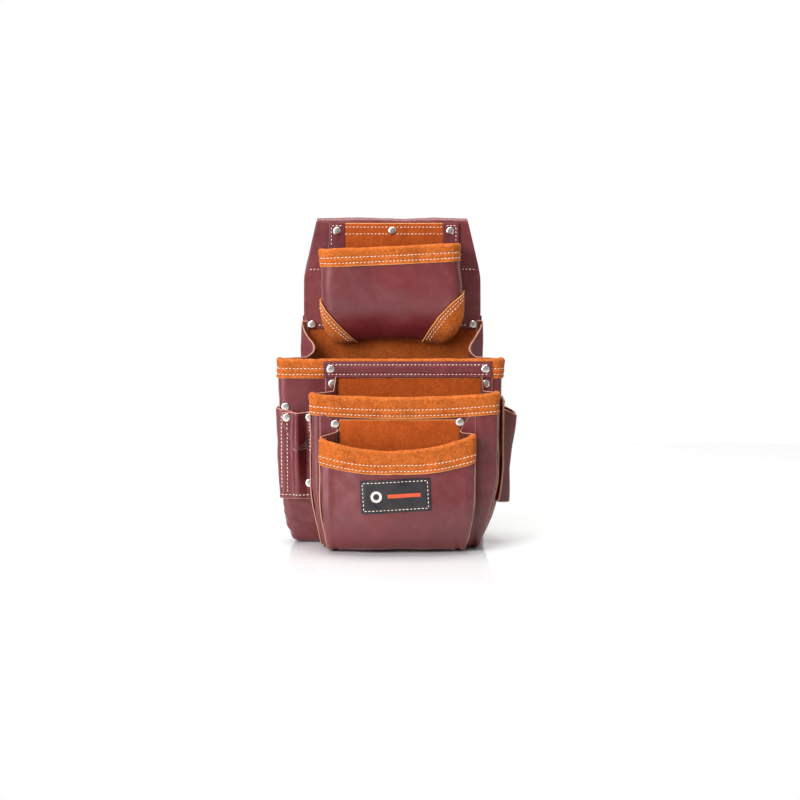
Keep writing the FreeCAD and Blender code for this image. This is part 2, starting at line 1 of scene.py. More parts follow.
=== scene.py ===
"""Looks of the leather electrician's tool pouch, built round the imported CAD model.

Shapes are worked out in millimetres, with X = 0 on the middle of the pouch's back, Y = 0 between its
front and rear back leathers, -Y forwards and Z = 0 at its foot. world() turns them into the frame.
"""
import math

import bpy
import numpy as np
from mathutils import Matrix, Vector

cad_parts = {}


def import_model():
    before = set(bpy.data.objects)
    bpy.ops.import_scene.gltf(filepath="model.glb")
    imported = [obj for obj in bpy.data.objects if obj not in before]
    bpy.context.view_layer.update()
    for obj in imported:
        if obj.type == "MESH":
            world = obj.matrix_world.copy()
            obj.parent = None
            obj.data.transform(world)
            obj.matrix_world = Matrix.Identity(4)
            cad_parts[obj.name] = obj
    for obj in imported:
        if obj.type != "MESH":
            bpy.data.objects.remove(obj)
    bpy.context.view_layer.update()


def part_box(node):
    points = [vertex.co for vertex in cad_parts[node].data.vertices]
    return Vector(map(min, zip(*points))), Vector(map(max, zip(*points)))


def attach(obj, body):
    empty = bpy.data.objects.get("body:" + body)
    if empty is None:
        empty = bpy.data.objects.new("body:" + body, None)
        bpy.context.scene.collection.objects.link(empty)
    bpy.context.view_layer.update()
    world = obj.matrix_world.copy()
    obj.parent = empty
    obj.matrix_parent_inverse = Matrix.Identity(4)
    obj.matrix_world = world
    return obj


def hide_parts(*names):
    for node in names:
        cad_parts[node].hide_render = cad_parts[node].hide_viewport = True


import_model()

MM = 0.001
BACK_LOW, BACK_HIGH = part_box("lower_back_panel")
ORIGIN = np.array([(BACK_LOW.x + BACK_HIGH.x) / 2, BACK_LOW.y, 0.0])


def mm_box(node):
    """Lowest and highest corner of a CAD node, in millimetres from the drawing origin."""
    low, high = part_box(node)
    return (np.array(low) - ORIGIN) / MM, (np.array(high) - ORIGIN) / MM


def world(points):
    return np.asarray(points, float) * MM + ORIGIN


# ---- driving sizes, from the frame where it has them -------------------------------------------
HIDE = 2.2
SUEDE = 1.6
PANEL = mm_box("upper_back_panel")
LOWER_BACK = mm_box("lower_back_panel")
MAIN = mm_box("main_pocket_front")
MIDDLE = mm_box("middle_pocket_front")
FRONT = mm_box("front_pocket_front")
UPPER = mm_box("upper_pocket_front")
BAND = mm_box("rim_band")
LABEL = mm_box("label_patch")

PANEL_FOOT = PANEL[0][2]
PANEL_TOP = PANEL[1][2]
FACE_Y = -HIDE                      # front face of the back leather
MAIN_Y = MAIN[0][1]
MAIN_RIM = MAIN[1][2] - 1.5         # the binding stands a little above it
MIDDLE_Y = MIDDLE[0][1]
FRONT_Y = FRONT[0][1]

FOOT_DEPTH = 14.0                   # how far a pocket draws in at its foot
FOOT_HEIGHT = 65.0
FOOT_ROLL = 7.0                     # radius of the bend from the front to the sole

STITCH_PITCH = 4.2
STITCH_LENGTH = 3.0
STITCH_WIDTH = 0.95
STITCH_HEIGHT = 0.8


# ---- colours ---------------------------------------------------------------------------------
def srgb(red, green, blue):
    """Linear colour from 0 to 255 screen values."""
    def one(value):
        share = value / 255.0
        return share / 12.92 if share <= 0.04045 else ((share + 0.055) / 1.055) ** 2.4
    return (one(red), one(green), one(blue), 1.0)


# ---- smooth surfaces -------------------------------------------------------------------------
def smooth(value, low, high):
    share = np.clip((value - low) / (high - low), 0.0, 1.0)
    return share * share * (3.0 - 2.0 * share)


def hill(value, centre, width):
    """A smooth hump one high, fading out about two widths away."""
    return np.exp(-((value - centre) / width) ** 2)


def ripple(points, size, seed, waves=8):
    """Gentle unevenness: a sum of waves about size long, in random directions."""
    rng = np.random.default_rng(seed)
    total = np.zeros(points.shape[:-1])
    for _ in range(waves):
        way = rng.normal(size=3)
        way *= 2.0 * math.pi / (size * rng.uniform(0.7, 1.7) * np.linalg.norm(way))
        total += np.sin(points @ way + rng.uniform(0.0, 6.3))
    return total / math.sqrt(waves)


def unit(vectors):
    return vectors / np.maximum(np.linalg.norm(vectors, axis=-1, keepdims=True), 1e-9)


def rounded(points, radii, count=500):
    """Dense points along a plan path whose corners are rounded."""
    points = np.asarray(points, float)
    dense = [points[:1]]
    share = np.linspace(0.0, 1.0, 14)[:, None]
    for before, corner, after, radius in zip(points[:-2], points[1:-1], points[2:], radii):
        into, out = corner - before, after - corner
        run_in, run_out = np.linalg.norm(into), np.linalg.norm(out)
        into, out = into / run_in, out / run_out
        turn = math.acos(float(np.clip(into @ out, -1.0, 1.0)))
        reach = min(1.25 * radius * math.tan(turn / 2), 0.49 * run_in, 0.49 * run_out)
        start, end = corner - reach * into, corner + reach * out
        dense.append((1 - share) ** 2 * start + 2 * share * (1 - share) * corner + share ** 2 * end)
    dense.append(points[-1:])
    return resample(np.concatenate(dense), count)


def resample(points, count):
    steps = np.linalg.norm(np.diff(points, axis=0), axis=1)
    run = np.concatenate([[0.0], np.cumsum(steps)])
    want = np.linspace(0.0, run[-1], count)
    return np.stack([np.interp(want, run, points[:, k]) for k in range(points.shape[1])], axis=1)


class Surface:
    """A smooth surface read at any place (a, b) of a table of points, with its outward normal."""

    def __init__(self, table, a, b, outward=1.0):
        self.table = np.asarray(table, float)
        self.a = np.asarray(a, float)
        self.b = np.asarray(b, float)
        self.outward = outward

    def at(self, a, b):
        i = np.interp(a, self.a, np.arange(len(self.a)))
        j = np.interp(b, self.b, np.arange(len(self.b)))
        i0 = np.clip(i.astype(int), 0, len(self.a) - 2)
        j0 = np.clip(j.astype(int), 0, len(self.b) - 2)
        s, t = (i - i0)[..., None], (j - j0)[..., None]
        low = self.table[j0, i0] * (1 - s) + self.table[j0, i0 + 1] * s
        high = self.table[j0 + 1, i0] * (1 - s) + self.table[j0 + 1, i0 + 1] * s
        return low * (1 - t) + high * t

    def normal(self, a, b):
        da = 1.5 * (self.a[-1] - self.a[0]) / len(self.a)
        db = 1.5 * (self.b[-1] - self.b[0]) / len(self.b)
        across = self.at(a + da, b) - self.at(a - da, b)
        along = self.at(a, b + db) - self.at(a, b - db)
        return unit(np.cross(across, along)) * self.outward

    def off(self, a, b, distance):
        """Point that stands distance outside the surface."""
        a, b = np.broadcast_arrays(np.asarray(a, float), np.asarray(b, float))
        return self.at(a, b) + self.normal(a, b) * np.asarray(distance)[..., None]


def drawn(function, a, b, outward=1.0):
    """Surface from a function of two arrays."""
    grid_a, grid_b = np.meshgrid(a, b)
    return Surface(function(grid_a, grid_b), a, b, outward)


def flat(y, x0, x1, z0, z1, outward=1.0, lift=None):
    """An upright surface facing forwards (or back, with outward -1), lifted by lift(x, z)."""
    def points(x, z):
        rise = 0.0 if lift is None else lift(x, z)
        return np.stack([x, y - outward * rise + 0 * x, z], axis=-1)
    return drawn(points, np.linspace(x0, x1, 160), np.linspace(z0, z1, 160), outward)


# ---- meshes ----------------------------------------------------------------------------------
PIECES = {}


def finish_mesh(name, verts, faces, slots, materials, fields=None, sharp=50.0):
    """Mesh object of points in millimetres. Nothing reaches below the floor."""
    verts = np.array(verts, float)
    verts[:, 2] = np.maximum(verts[:, 2], 0.0)
    mesh = bpy.data.meshes.new(name)
    mesh.from_pydata(world(verts).tolist(), [], faces)
    for material in materials:
        mesh.materials.append(material)
    mesh.polygons.foreach_set("material_index", np.asarray(slots, np.int32))
    mesh.polygons.foreach_set("use_smooth", np.ones(len(faces), bool))
    mesh.set_sharp_from_angle(angle=math.radians(sharp))
    for field, values in (fields or {}).items():
        layer = mesh.attributes.new(field, "FLOAT", "POINT")
        layer.data.foreach_set("value", np.asarray(values, np.float32))
    mesh.update()
    piece = bpy.data.objects.new(name, mesh)
    bpy.context.scene.collection.objects.link(piece)
    PIECES[name] = piece
    return piece


def edge_distance(points):
    """Distance of each grid point from the nearest border, in millimetres."""
    near = np.full(points.shape[:2], 1e9)
    for axis in (0, 1):
        steps = np.linalg.norm(np.diff(points, axis=axis), axis=2)
        pad = [(0, 0), (0, 0)]
        pad[axis] = (1, 0)
        run = np.cumsum(np.pad(steps, pad), axis=axis)
        total = run[-1:, :] if axis == 0 else run[:, -1:]
        near = np.minimum(near, np.minimum(run, total - run))
    return near


def sheet(name, surface, grid, thickness, materials, lift=0.0, round_out=0.35):
    """Leather of real thickness on a surface: its face, its flesh side and a rounded cut edge.

    grid is the pair of arrays (a, b) of its points; lift stands its face off the surface.
    """
    a, b = grid
    normals = surface.normal(a, b)
    outer = surface.at(a, b) + normals * np.broadcast_to(lift, a.shape)[..., None]
    inner = outer - normals * thickness
    rows, cols = a.shape
    index = np.arange(rows * cols).reshape(rows, cols)
    quads = np.stack([index[:-1, :-1], index[:-1, 1:], index[1:, 1:], index[1:, :-1]], axis=-1)
    quads = quads.reshape(-1, 4)
    back = quads[:, ::-1] + rows * cols
    if surface.outward < 0:
        quads, back = quads[:, ::-1], back[:, ::-1]
    loop = np.concatenate([index[0, :-1], index[:-1, -1], index[-1, :0:-1], index[:0:-1, 0]])
    out = np.zeros((rows, cols, 3))
    out[0] -= unit(outer[1] - outer[0])
    out[-1] += unit(outer[-1] - outer[-2])
    out[:, 0] -= unit(outer[:, 1] - outer[:, 0])
    out[:, -1] += unit(outer[:, -1] - outer[:, -2])
    out = unit(out).reshape(-1, 3)[loop]
    middle = (outer + inner).reshape(-1, 3)[loop] / 2
    normal = normals.reshape(-1, 3)[loop]
    verts = [outer.reshape(-1, 3), inner.reshape(-1, 3)]
    rings = [loop]
    start = 2 * rows * cols
    for angle in (35.0, 65.0, 90.0, 115.0, 145.0):
        turn = math.radians(angle)
        ring = middle + normal * math.cos(turn) * thickness / 2
        verts.append(ring + out * math.sin(turn) * thickness * round_out)
        rings.append(np.arange(len(loop)) + start)
        start += len(loop)
    rings.append(loop + rows * cols)
    edge = []
    for first, second in zip(rings, rings[1:]):
        quad = np.stack([first, second, np.roll(second, -1), np.roll(first, -1)], axis=-1)
        edge.append(quad if surface.outward > 0 else quad[:, ::-1])
    edge = np.concatenate(edge)
    faces = np.concatenate([quads, back, edge])
    slots = np.concatenate([np.zeros(len(quads)), np.ones(len(back)), np.full(len(edge), 2)])
    verts = np.concatenate(verts)
    near = edge_distance(outer).reshape(-1)
    fields = {"edge_mm": np.concatenate([near, near, np.zeros(len(verts) - 2 * rows * cols)])}
    return finish_mesh(name, verts, faces.tolist(), slots, materials, fields)


def grid(a0, a1, b0, b1, step_a, step_b, size_a, size_b):
    """Grid of places between two borders. Each of b0 and b1 is a number or a function of a.
    size_a and size_b are the real lengths that the steps divide."""
    cols = max(4, int(round(size_a / step_a)) + 1)
    rows = max(4, int(round(size_b / step_b)) + 1)
    line = np.linspace(a0, a1, cols)
    low = b0(line) if callable(b0) else np.full(cols, float(b0))
    high = b1(line) if callable(b1) else np.full(cols, float(b1))
    share = np.linspace(0.0, 1.0, rows)[:, None]
    return np.broadcast_to(line, (rows, cols)).copy(), low + (high - low) * share


# ---- stitches and rivets ---------------------------------------------------------------------
def thread_shape():
    """One stitch lying along X: a capsule pinched down at its two holes."""
    rings, sides = 7, 8
    verts = []
    for k in range(rings):
        along = -1.0 + 2.0 * k / (rings - 1)
        size = max(0.28, math.sqrt(1.0 - 0.93 * along * along))
        for s in range(sides):
            turn = 2.0 * math.pi * s / sides
            dip = -0.75 * along ** 4
            verts.append((0.5 * along, 0.5 * size * math.cos(turn), 0.5 * size * math.sin(turn) + dip))
    faces = [(k * sides + s, k * sides + (s + 1) % sides, (k + 1) * sides + (s + 1) % sides,
              (k + 1) * sides + s) for k in range(rings - 1) for s in range(sides)]
    faces.append(tuple(range(sides))[::-1])
    faces.append(tuple((rings - 1) * sides + s for s in range(sides)))
    return np.array(verts), faces


THREAD_VERTS, THREAD_FACES = thread_shape()
SEAMS = {}


def sew(group, line, normals, slant=10.0):
    """Stitches along a line of points on a surface."""
    steps = np.linalg.norm(np.diff(line, axis=0), axis=1)
    run = np.concatenate([[0.0], np.cumsum(steps)])
    count = max(1, int(round(run[-1] / STITCH_PITCH)))
    rng = np.random.default_rng(count + len(SEAMS))
    for k in range(count):
        want = run[-1] * (k + 0.5) / count
        spot = np.array([np.interp(want, run, line[:, i]) for i in range(3)])
        ahead = np.array([np.interp(want + 0.8, run, line[:, i]) for i in range(3)])
        behind = np.array([np.interp(want - 0.8, run, line[:, i]) for i in range(3)])
        up = unit(np.array([np.interp(want, run, normals[:, i]) for i in range(3)]))
        way = unit(ahead - behind)
        side = unit(np.cross(up, way))
        turn = math.radians(slant + rng.uniform(-5.0, 5.0))
        way, side = math.cos(turn) * way + math.sin(turn) * side, math.cos(turn) * side - math.sin(turn) * way
        size = rng.uniform(0.93, 1.06)
        shape = (THREAD_VERTS[:, :1] * way * STITCH_LENGTH * size
                 + THREAD_VERTS[:, 1:2] * side * STITCH_WIDTH * size
                 + THREAD_VERTS[:, 2:] * up * STITCH_HEIGHT)
        SEAMS.setdefault(group, []).append(shape + spot + 0.18 * up)


def sew_on(group, surface, a, b, lift=0.0, slant=10.0):
    """Stitches through places (a, b) of a surface."""
    a, b = np.broadcast_arrays(np.asarray(a, float), np.asarray(b, float))
    sew(group, surface.off(a, b, np.full(a.shape, float(lift))), surface.normal(a, b), slant)


def make_seams(material):
    for group, stitches in SEAMS.items():
        faces = []
        for k in range(len(stitches)):
            base = k * len(THREAD_VERTS)
            faces += [tuple(base + i for i in face) for face in THREAD_FACES]
        finish_mesh("stitches_" + group, np.concatenate(stitches), faces, np.zeros(len(faces)), [material],
                    sharp=80.0)


CAP_PROFILE = ((0.0, 1.3), (1.6, 1.26), (2.9, 1.14), (3.8, 0.95), (4.4, 0.62), (4.7, 0.25), (4.75, 0.0),
               (4.5, -0.15))
WASHER_PROFILE = ((0.0, 1.5), (1.3, 1.5), (1.75, 1.0), (1.9, 0.75), (3.6, 0.95), (4.1, 0.7), (4.2, 0.3),
                  (4.1, -0.1))


def lathe(profile, centre, up, sides=40):
    """A turned shape standing on centre along up."""
    up = unit(np.asarray(up, float))
    side = unit(np.cross(up, (0.13, 0.21, 0.97)))
    other = np.cross(up, side)
    verts = [centre + up * profile[0][1]]
    for radius, height in profile[1:]:
        for s in range(sides):
            turn = 2.0 * math.pi * s / sides
            verts.append(centre + up * height + radius * (math.cos(turn) * side + math.sin(turn) * other))
    faces = [(0, 1 + s, 1 + (s + 1) % sides) for s in range(sides)]
    for k in range(len(profile) - 2):
        low = 1 + k * sides
        faces += [(low + s, low + sides + s, low + sides + (s + 1) % sides, low + (s + 1) % sides)
                  for s in range(sides)]
    last = 1 + (len(profile) - 2) * sides
    faces.append(tuple(last + s for s in reversed(range(sides))))
    return np.array(verts), faces


def rivets(name, places, material):
    """Caps on their leather and washers behind it. Each place is (point, outward normal, grip)."""
    verts, faces = [], []
    for point, up, grip in places:
        for profile, centre, way in ((CAP_PROFILE, point, up),
                                     (WASHER_PROFILE, point - unit(up) * grip, -up)):
            base = sum(len(v) for v in verts)
            shape, found = lathe(profile, centre, way)
            verts.append(shape)
            faces += [tuple(base + i for i in face) for face in found]
    return finish_mesh(name, np.concatenate(verts), faces, np.zeros(len(faces)), [material], sharp=40.0)


# ---- materials -------------------------------------------------------------------------------
class Nodes:
    """Short calls for building a node tree."""

    def __init__(self, name):
        self.material = bpy.data.materials.new(name)
        self.material.use_nodes = True
        self.tree = self.material.node_tree
        self.tree.nodes.clear()
        self.shader = self.add("ShaderNodeBsdfPrincipled")
        output = self.add("ShaderNodeOutputMaterial")
        self.link(self.shader.outputs[0], output.inputs["Surface"])
        self.place = self.add("ShaderNodeTexCoord").outputs["Object"]

    def add(self, kind):
        return self.tree.nodes.new(kind)

    def link(self, source, target):
        self.tree.links.new(source, target)

    def fill(self, socket, value):
        if isinstance(value, bpy.types.NodeSocket):
            self.link(value, socket)
        else:
            socket.default_value = value

    def noise(self, size_mm, detail=3.0, rough=0.5, distortion=0.0, stretch=None):
        node = self.add("ShaderNodeTexNoise")
        self.fill(node.inputs["Vector"], self.stretched(stretch))
        node.inputs["Scale"].default_value = 1.0 / (size_mm * MM)
        node.inputs["Detail"].default_value = detail
        node.inputs["Roughness"].default_value = rough
        node.inputs["Distortion"].default_value = distortion
        return node.outputs["Fac"]

    def cells(self, size_mm, feature="F1"):
        node = self.add("ShaderNodeTexVoronoi")
        node.feature = feature
        self.link(self.place, node.inputs["Vector"])
        node.inputs["Scale"].default_value = 1.0 / (size_mm * MM)
        return node.outputs["Distance"]

    def stretched(self, stretch):
        if stretch is None:
            return self.place
        node = self.add("ShaderNodeMapping")
        self.link(self.place, node.inputs["Vector"])
        node.inputs["Scale"].default_value = stretch
        return node.outputs[0]

    def field(self, name):
        node = self.add("ShaderNodeAttribute")
        node.attribute_name = name
        return node.outputs["Fac"]

    def math(self, kind, first, second):
        node = self.add("ShaderNodeMath")
        node.operation = kind
        self.fill(node.inputs[0], first)
        self.fill(node.inputs[1], second)
        return node.outputs[0]

    def span(self, value, low, high, to_low=0.0, to_high=1.0):
        node = self.add("ShaderNodeMapRange")
        self.fill(node.inputs["Value"], value)
        for socket, number in zip(("From Min", "From Max", "To Min", "To Max"), (low, high, to_low, to_high)):
            node.inputs[socket].default_value = number
        return node.outputs[0]

    def mix(self, share, first, second, blend="MIX"):
        node = self.add("ShaderNodeMix")
        node.data_type = "RGBA"
        node.blend_type = blend
        self.fill(node.inputs[0], share)
        self.fill(node.inputs[6], first)
        self.fill(node.inputs[7], second)
        return node.outputs[2]

    def bump(self, height, depth_mm, strength=1.0, under=None):
        node = self.add("ShaderNodeBump")
        node.inputs["Strength"].default_value = strength
        node.inputs["Distance"].default_value = depth_mm * MM
        self.fill(node.inputs["Height"], height)
        if under is not None:
            self.link(under, node.inputs["Normal"])
        return node.outputs[0]

    def use(self, **sockets):
        for name, value in sockets.items():
            self.fill(self.shader.inputs[name.replace("_", " ")], value)
        return self.material


def grain_leather(name, tone, deep, pale):
    """Smooth burgundy hide: nearly even colour, fine grain and a satin gloss."""
    n = Nodes(name)
    clouds = n.noise(60.0, 3.0, 0.5, 0.3)
    mottle = n.noise(9.0, 4.0, 0.6)
    speck = n.noise(1.0, 3.0, 0.6)
    colour = n.mix(n.span(clouds, 0.36, 0.7, 0.0, 0.45), tone, deep)
    colour = n.mix(n.span(mottle, 0.5, 0.78, 0.0, 0.2), colour, pale)
    colour = n.mix(n.span(speck, 0.3, 0.66, 0.42, 0.0), colour, deep)
    rub = n.span(n.field("edge_mm"), 0.0, 1.3, 0.3, 0.0)
    colour = n.mix(n.math("MULTIPLY", rub, n.span(mottle, 0.3, 0.6)), colour, pale)
    pores = n.span(n.cells(0.9), 0.0, 0.75)
    creases = n.span(n.cells(2.3, "DISTANCE_TO_EDGE"), 0.0, 0.1)
    fine = n.bump(pores, 0.075, 0.6)
    coarse = n.bump(creases, 0.07, 0.45, fine)
    soft = n.bump(n.noise(6.0, 2.0, 0.5), 0.14, 0.4, coarse)
    rough = n.math("ADD", n.span(mottle, 0.3, 0.7, 0.36, 0.45), n.span(pores, 0.0, 1.0, 0.05, 0.0))
    return n.use(Base_Color=colour, Roughness=rough, Normal=soft, Specular_IOR_Level=0.6,
                 Coat_Weight=0.18, Coat_Roughness=0.33)


def suede(name, light, dark, fibre=srgb(240, 170, 96)):
    """Napped suede: matt, coarsely speckled with paler fibre ends and darker hollows."""
    n = Nodes(name)
    patches = n.noise(22.0, 3.0, 0.6, 0.6)
    brushed = n.noise(7.0, 3.0, 0.55, 0.0, (1.0, 1.0, 0.3))
    nap = n.noise(2.9, 4.0, 0.72)
    fibres = n.noise(1.7, 4.0, 0.75, 1.2)
    colour = n.mix(n.span(patches, 0.36, 0.7, 0.0, 0.6), light, dark)
    colour = n.mix(n.span(brushed, 0.45, 0.75, 0.0, 0.35), colour, dark)
    colour = n.mix(n.span(nap, 0.46, 0.68, 0.0, 0.8), colour, dark)
    colour = n.mix(n.span(fibres, 0.52, 0.74, 0.0, 0.7), colour, fibre)
    rub = n.span(n.field("edge_mm"), 0.0, 1.2, 0.4, 0.0)
    colour = n.mix(rub, colour, fibre)
    rise = n.math("ADD", n.math("MULTIPLY", nap, 0.6), n.math("MULTIPLY", fibres, 0.4))
    fuzz = n.bump(rise, 0.5, 0.8)
    soft = n.bump(n.noise(6.0, 2.0), 0.5, 0.5, fuzz)
    return n.use(Base_Color=colour, Roughness=0.93, Normal=soft, Specular_IOR_Level=0.15,
                 Sheen_Weight=0.12, Sheen_Roughness=0.5, Sheen_Tint=srgb(250, 205, 150))


def raw_edge(name, light, dark):
    """Cut edge of the hide: pale layered fibre."""
    n = Nodes(name)
    fibres = n.noise(0.8, 4.0, 0.7)
    drift = n.noise(11.0, 3.0)
    colour = n.mix(n.span(fibres, 0.35, 0.7), light, dark)
    colour = n.mix(n.span(drift, 0.5, 0.75, 0.0, 0.6), colour, dark)
    return n.use(Base_Color=colour, Roughness=0.82, Normal=n.bump(fibres, 0.25, 0.7), Specular_IOR_Level=0.25)


def thread(name, light, dark):
    """Waxed cream thread with the twist of its strands."""
    n = Nodes(name)
    twist = n.noise(0.35, 2.0, 0.5, 0.0, (1.0, 1.0, 0.45))
    soil = n.noise(7.0, 3.0)
    colour = n.mix(n.span(soil, 0.45, 0.7, 0.0, 0.65), light, dark)
    return n.use(Base_Color=colour, Roughness=0.6, Normal=n.bump(twist, 0.16, 0.8), Specular_IOR_Level=0.35)


def nickel():
    n = Nodes("rivet_nickel")
    wear = n.noise(2.2, 4.0, 0.65)
    scratch = n.noise(0.5, 2.0, 0.6, 0.0, (1.0, 1.0, 0.2))
    colour = n.mix(n.span(wear, 0.42, 0.7), srgb(240, 234, 228), srgb(206, 194, 184))
    rough = n.span(wear, 0.35, 0.7, 0.26, 0.36)
    return n.use(Base_Color=colour, Metallic=1.0, Roughness=rough, Normal=n.bump(scratch, 0.004, 0.2))


def black_leather():
    n = Nodes("label_leather")
    pores = n.span(n.cells(0.7), 0.0, 0.7)
    drift = n.noise(12.0, 4.0)
    colour = n.mix(n.span(drift, 0.35, 0.7), srgb(24, 21, 23), srgb(42, 38, 41))
    return n.use(Base_Color=colour, Roughness=n.span(drift, 0.3, 0.7, 0.42, 0.55),
                 Normal=n.bump(pores, 0.05, 0.5), Specular_IOR_Level=0.5)


def paint(name, colour):
    """Foil stamped on the label."""
    n = Nodes(name)
    wear = n.noise(0.9, 4.0, 0.7)
    dull = (*(0.72 * c for c in colour[:3]), 1.0)
    mixed = n.mix(n.span(wear, 0.5, 0.75), colour, dull)
    return n.use(Base_Color=mixed, Roughness=0.5, Normal=n.bump(wear, 0.04, 0.5))


GRAIN = grain_leather("grain_leather", srgb(118, 35, 39), srgb(74, 19, 21), srgb(158, 84, 94))
# darker, browner copy of the grain leather for the right sleeve: painted shade of its side away from the key
# light
GRAIN_SHADED = grain_leather("grain_leather_shaded", srgb(108, 40, 36), srgb(72, 25, 24), srgb(132, 66, 60))
FLESH = suede("flesh_side", srgb(104, 48, 40), srgb(70, 30, 28), srgb(150, 92, 78))
RAW = raw_edge("raw_edge", srgb(214, 166, 140), srgb(160, 100, 84))
DYED = raw_edge("dyed_edge", srgb(104, 46, 46), srgb(70, 28, 30))
SUEDE_FACE = suede("suede_orange", srgb(202, 102, 36), srgb(140, 62, 16))
# darker copy of the orange suede for the backings in the pockets' recesses: painted shade
SUEDE_BACK_SHADED = suede("suede_backing_shaded", srgb(184, 84, 28), srgb(150, 62, 16), srgb(204, 110, 48))
# browner, darker copy of the orange suede for the main backing: mostly painted shade of its recess behind the
# pockets
SUEDE_BROWN_SHADED = suede("suede_brown_shaded", srgb(178, 88, 32), srgb(134, 58, 18), srgb(200, 120, 60))
SUEDE_EDGE = raw_edge("suede_edge", srgb(236, 178, 116), srgb(206, 130, 62))
THREAD = thread("thread_cream", srgb(244, 226, 206), srgb(214, 176, 140))
NICKEL = nickel()
BLACK = black_leather()
FOIL_CREAM = paint("label_foil_cream", srgb(236, 226, 212))
FOIL_ORANGE = paint("label_foil_orange", srgb(214, 84, 44))
HIDE_SET = [GRAIN, FLESH, DYED]
GUSSET_SET = [GRAIN, FLESH, RAW]
SHADED_SLEEVE_SET = [GRAIN_SHADED, FLESH, RAW]
SUEDE_SET = [SUEDE_FACE, SUEDE_FACE, SUEDE_EDGE]
SHADED_BACKING_SET = [SUEDE_BACK_SHADED, SUEDE_BACK_SHADED, SUEDE_EDGE]
SHADED_BROWN_SET = [SUEDE_BROWN_SHADED, SUEDE_BROWN_SHADED, SUEDE_EDGE]


# ---- pocket bodies ---------------------------------------------------------------------------
ROWS = 190
COLS = 420
ROLL_SLOPE = 0.4                     # lean of the wall where the bend to the sole begins
ROLL_END = FOOT_ROLL * (math.pi / 2 - ROLL_SLOPE)
ROLL_TOP = FOOT_ROLL * (1.0 - math.sin(ROLL_SLOPE))


def draw_in(z, depth=FOOT_DEPTH, height=FOOT_HEIGHT, power=2.3):
    return depth * np.maximum(0.0, 1.0 - z / height) ** power


def foot_line(b, sole):
    """Height, and share of the way in along the sole, at b. b is the height on the wall; below
    ROLL_TOP it goes on round the bend and then back along the sole."""
    turn = np.clip((ROLL_TOP - b) / FOOT_ROLL, 0.0, ROLL_END / FOOT_ROLL) + ROLL_SLOPE
    z = np.where(b >= ROLL_TOP, b, FOOT_ROLL * (1.0 - np.sin(turn)))
    tuck = np.where(b >= ROLL_TOP, 0.0, FOOT_ROLL * (math.cos(ROLL_SLOPE) - np.cos(turn)))
    flat_run = np.maximum(0.0, ROLL_TOP - ROLL_END - b)
    return z, tuck, flat_run / sole


def pocket(plan, top, sole, rear, roundings, shape, arch=0.0):
    """Surface of a pocket's front leather. plan(z, tuck) gives its corner points at a height,
    rear(share) the two ends of the line that the sole runs back to, and shape(points, b) an added
    swell along the outward normal."""
    low = ROLL_TOP - ROLL_END - sole
    heights = np.linspace(low, top, ROWS)
    table = np.zeros((ROWS, COLS, 3))
    share = np.linspace(0.0, 1.0, COLS)
    for row, b in enumerate(heights):
        z, tuck, back = foot_line(np.array(b), sole)
        line = rounded(plan(float(z), float(tuck)), roundings, COLS)
        left, right = rear
        target = np.stack([left[0] + (right[0] - left[0]) * share,
                           left[1] + (right[1] - left[1]) * share], axis=1)
        line = line * (1 - back) + target * back
        table[row, :, :2] = line
        lift = arch * (1.0 - (2.0 * share - 1.0) ** 2) * (1.0 - smooth(float(b), 0.0, 30.0))
        table[row, :, 2] = z + lift
    body = Surface(table, share, heights)
    grid_a, grid_b = np.meshgrid(share, heights)
    swell = shape(table, grid_b)
    return Surface(body.off(grid_a, grid_b, swell), share, heights)


def bow(rim):
    """Height of a rim that bows through its three or more points, at any x."""
    xs, zs = zip(*rim)
    ways = np.polyfit(xs, zs, len(rim) - 1)
    return lambda x: np.polyval(ways, np.clip(x, xs[0], xs[-1]))


def rim_heights(surface, rim):
    """The rim's height along a surface's own places."""
    def at(a):
        guess = np.full(a.shape, float(rim(0.0)))
        return rim(surface.at(a, guess)[:, 0])
    return at


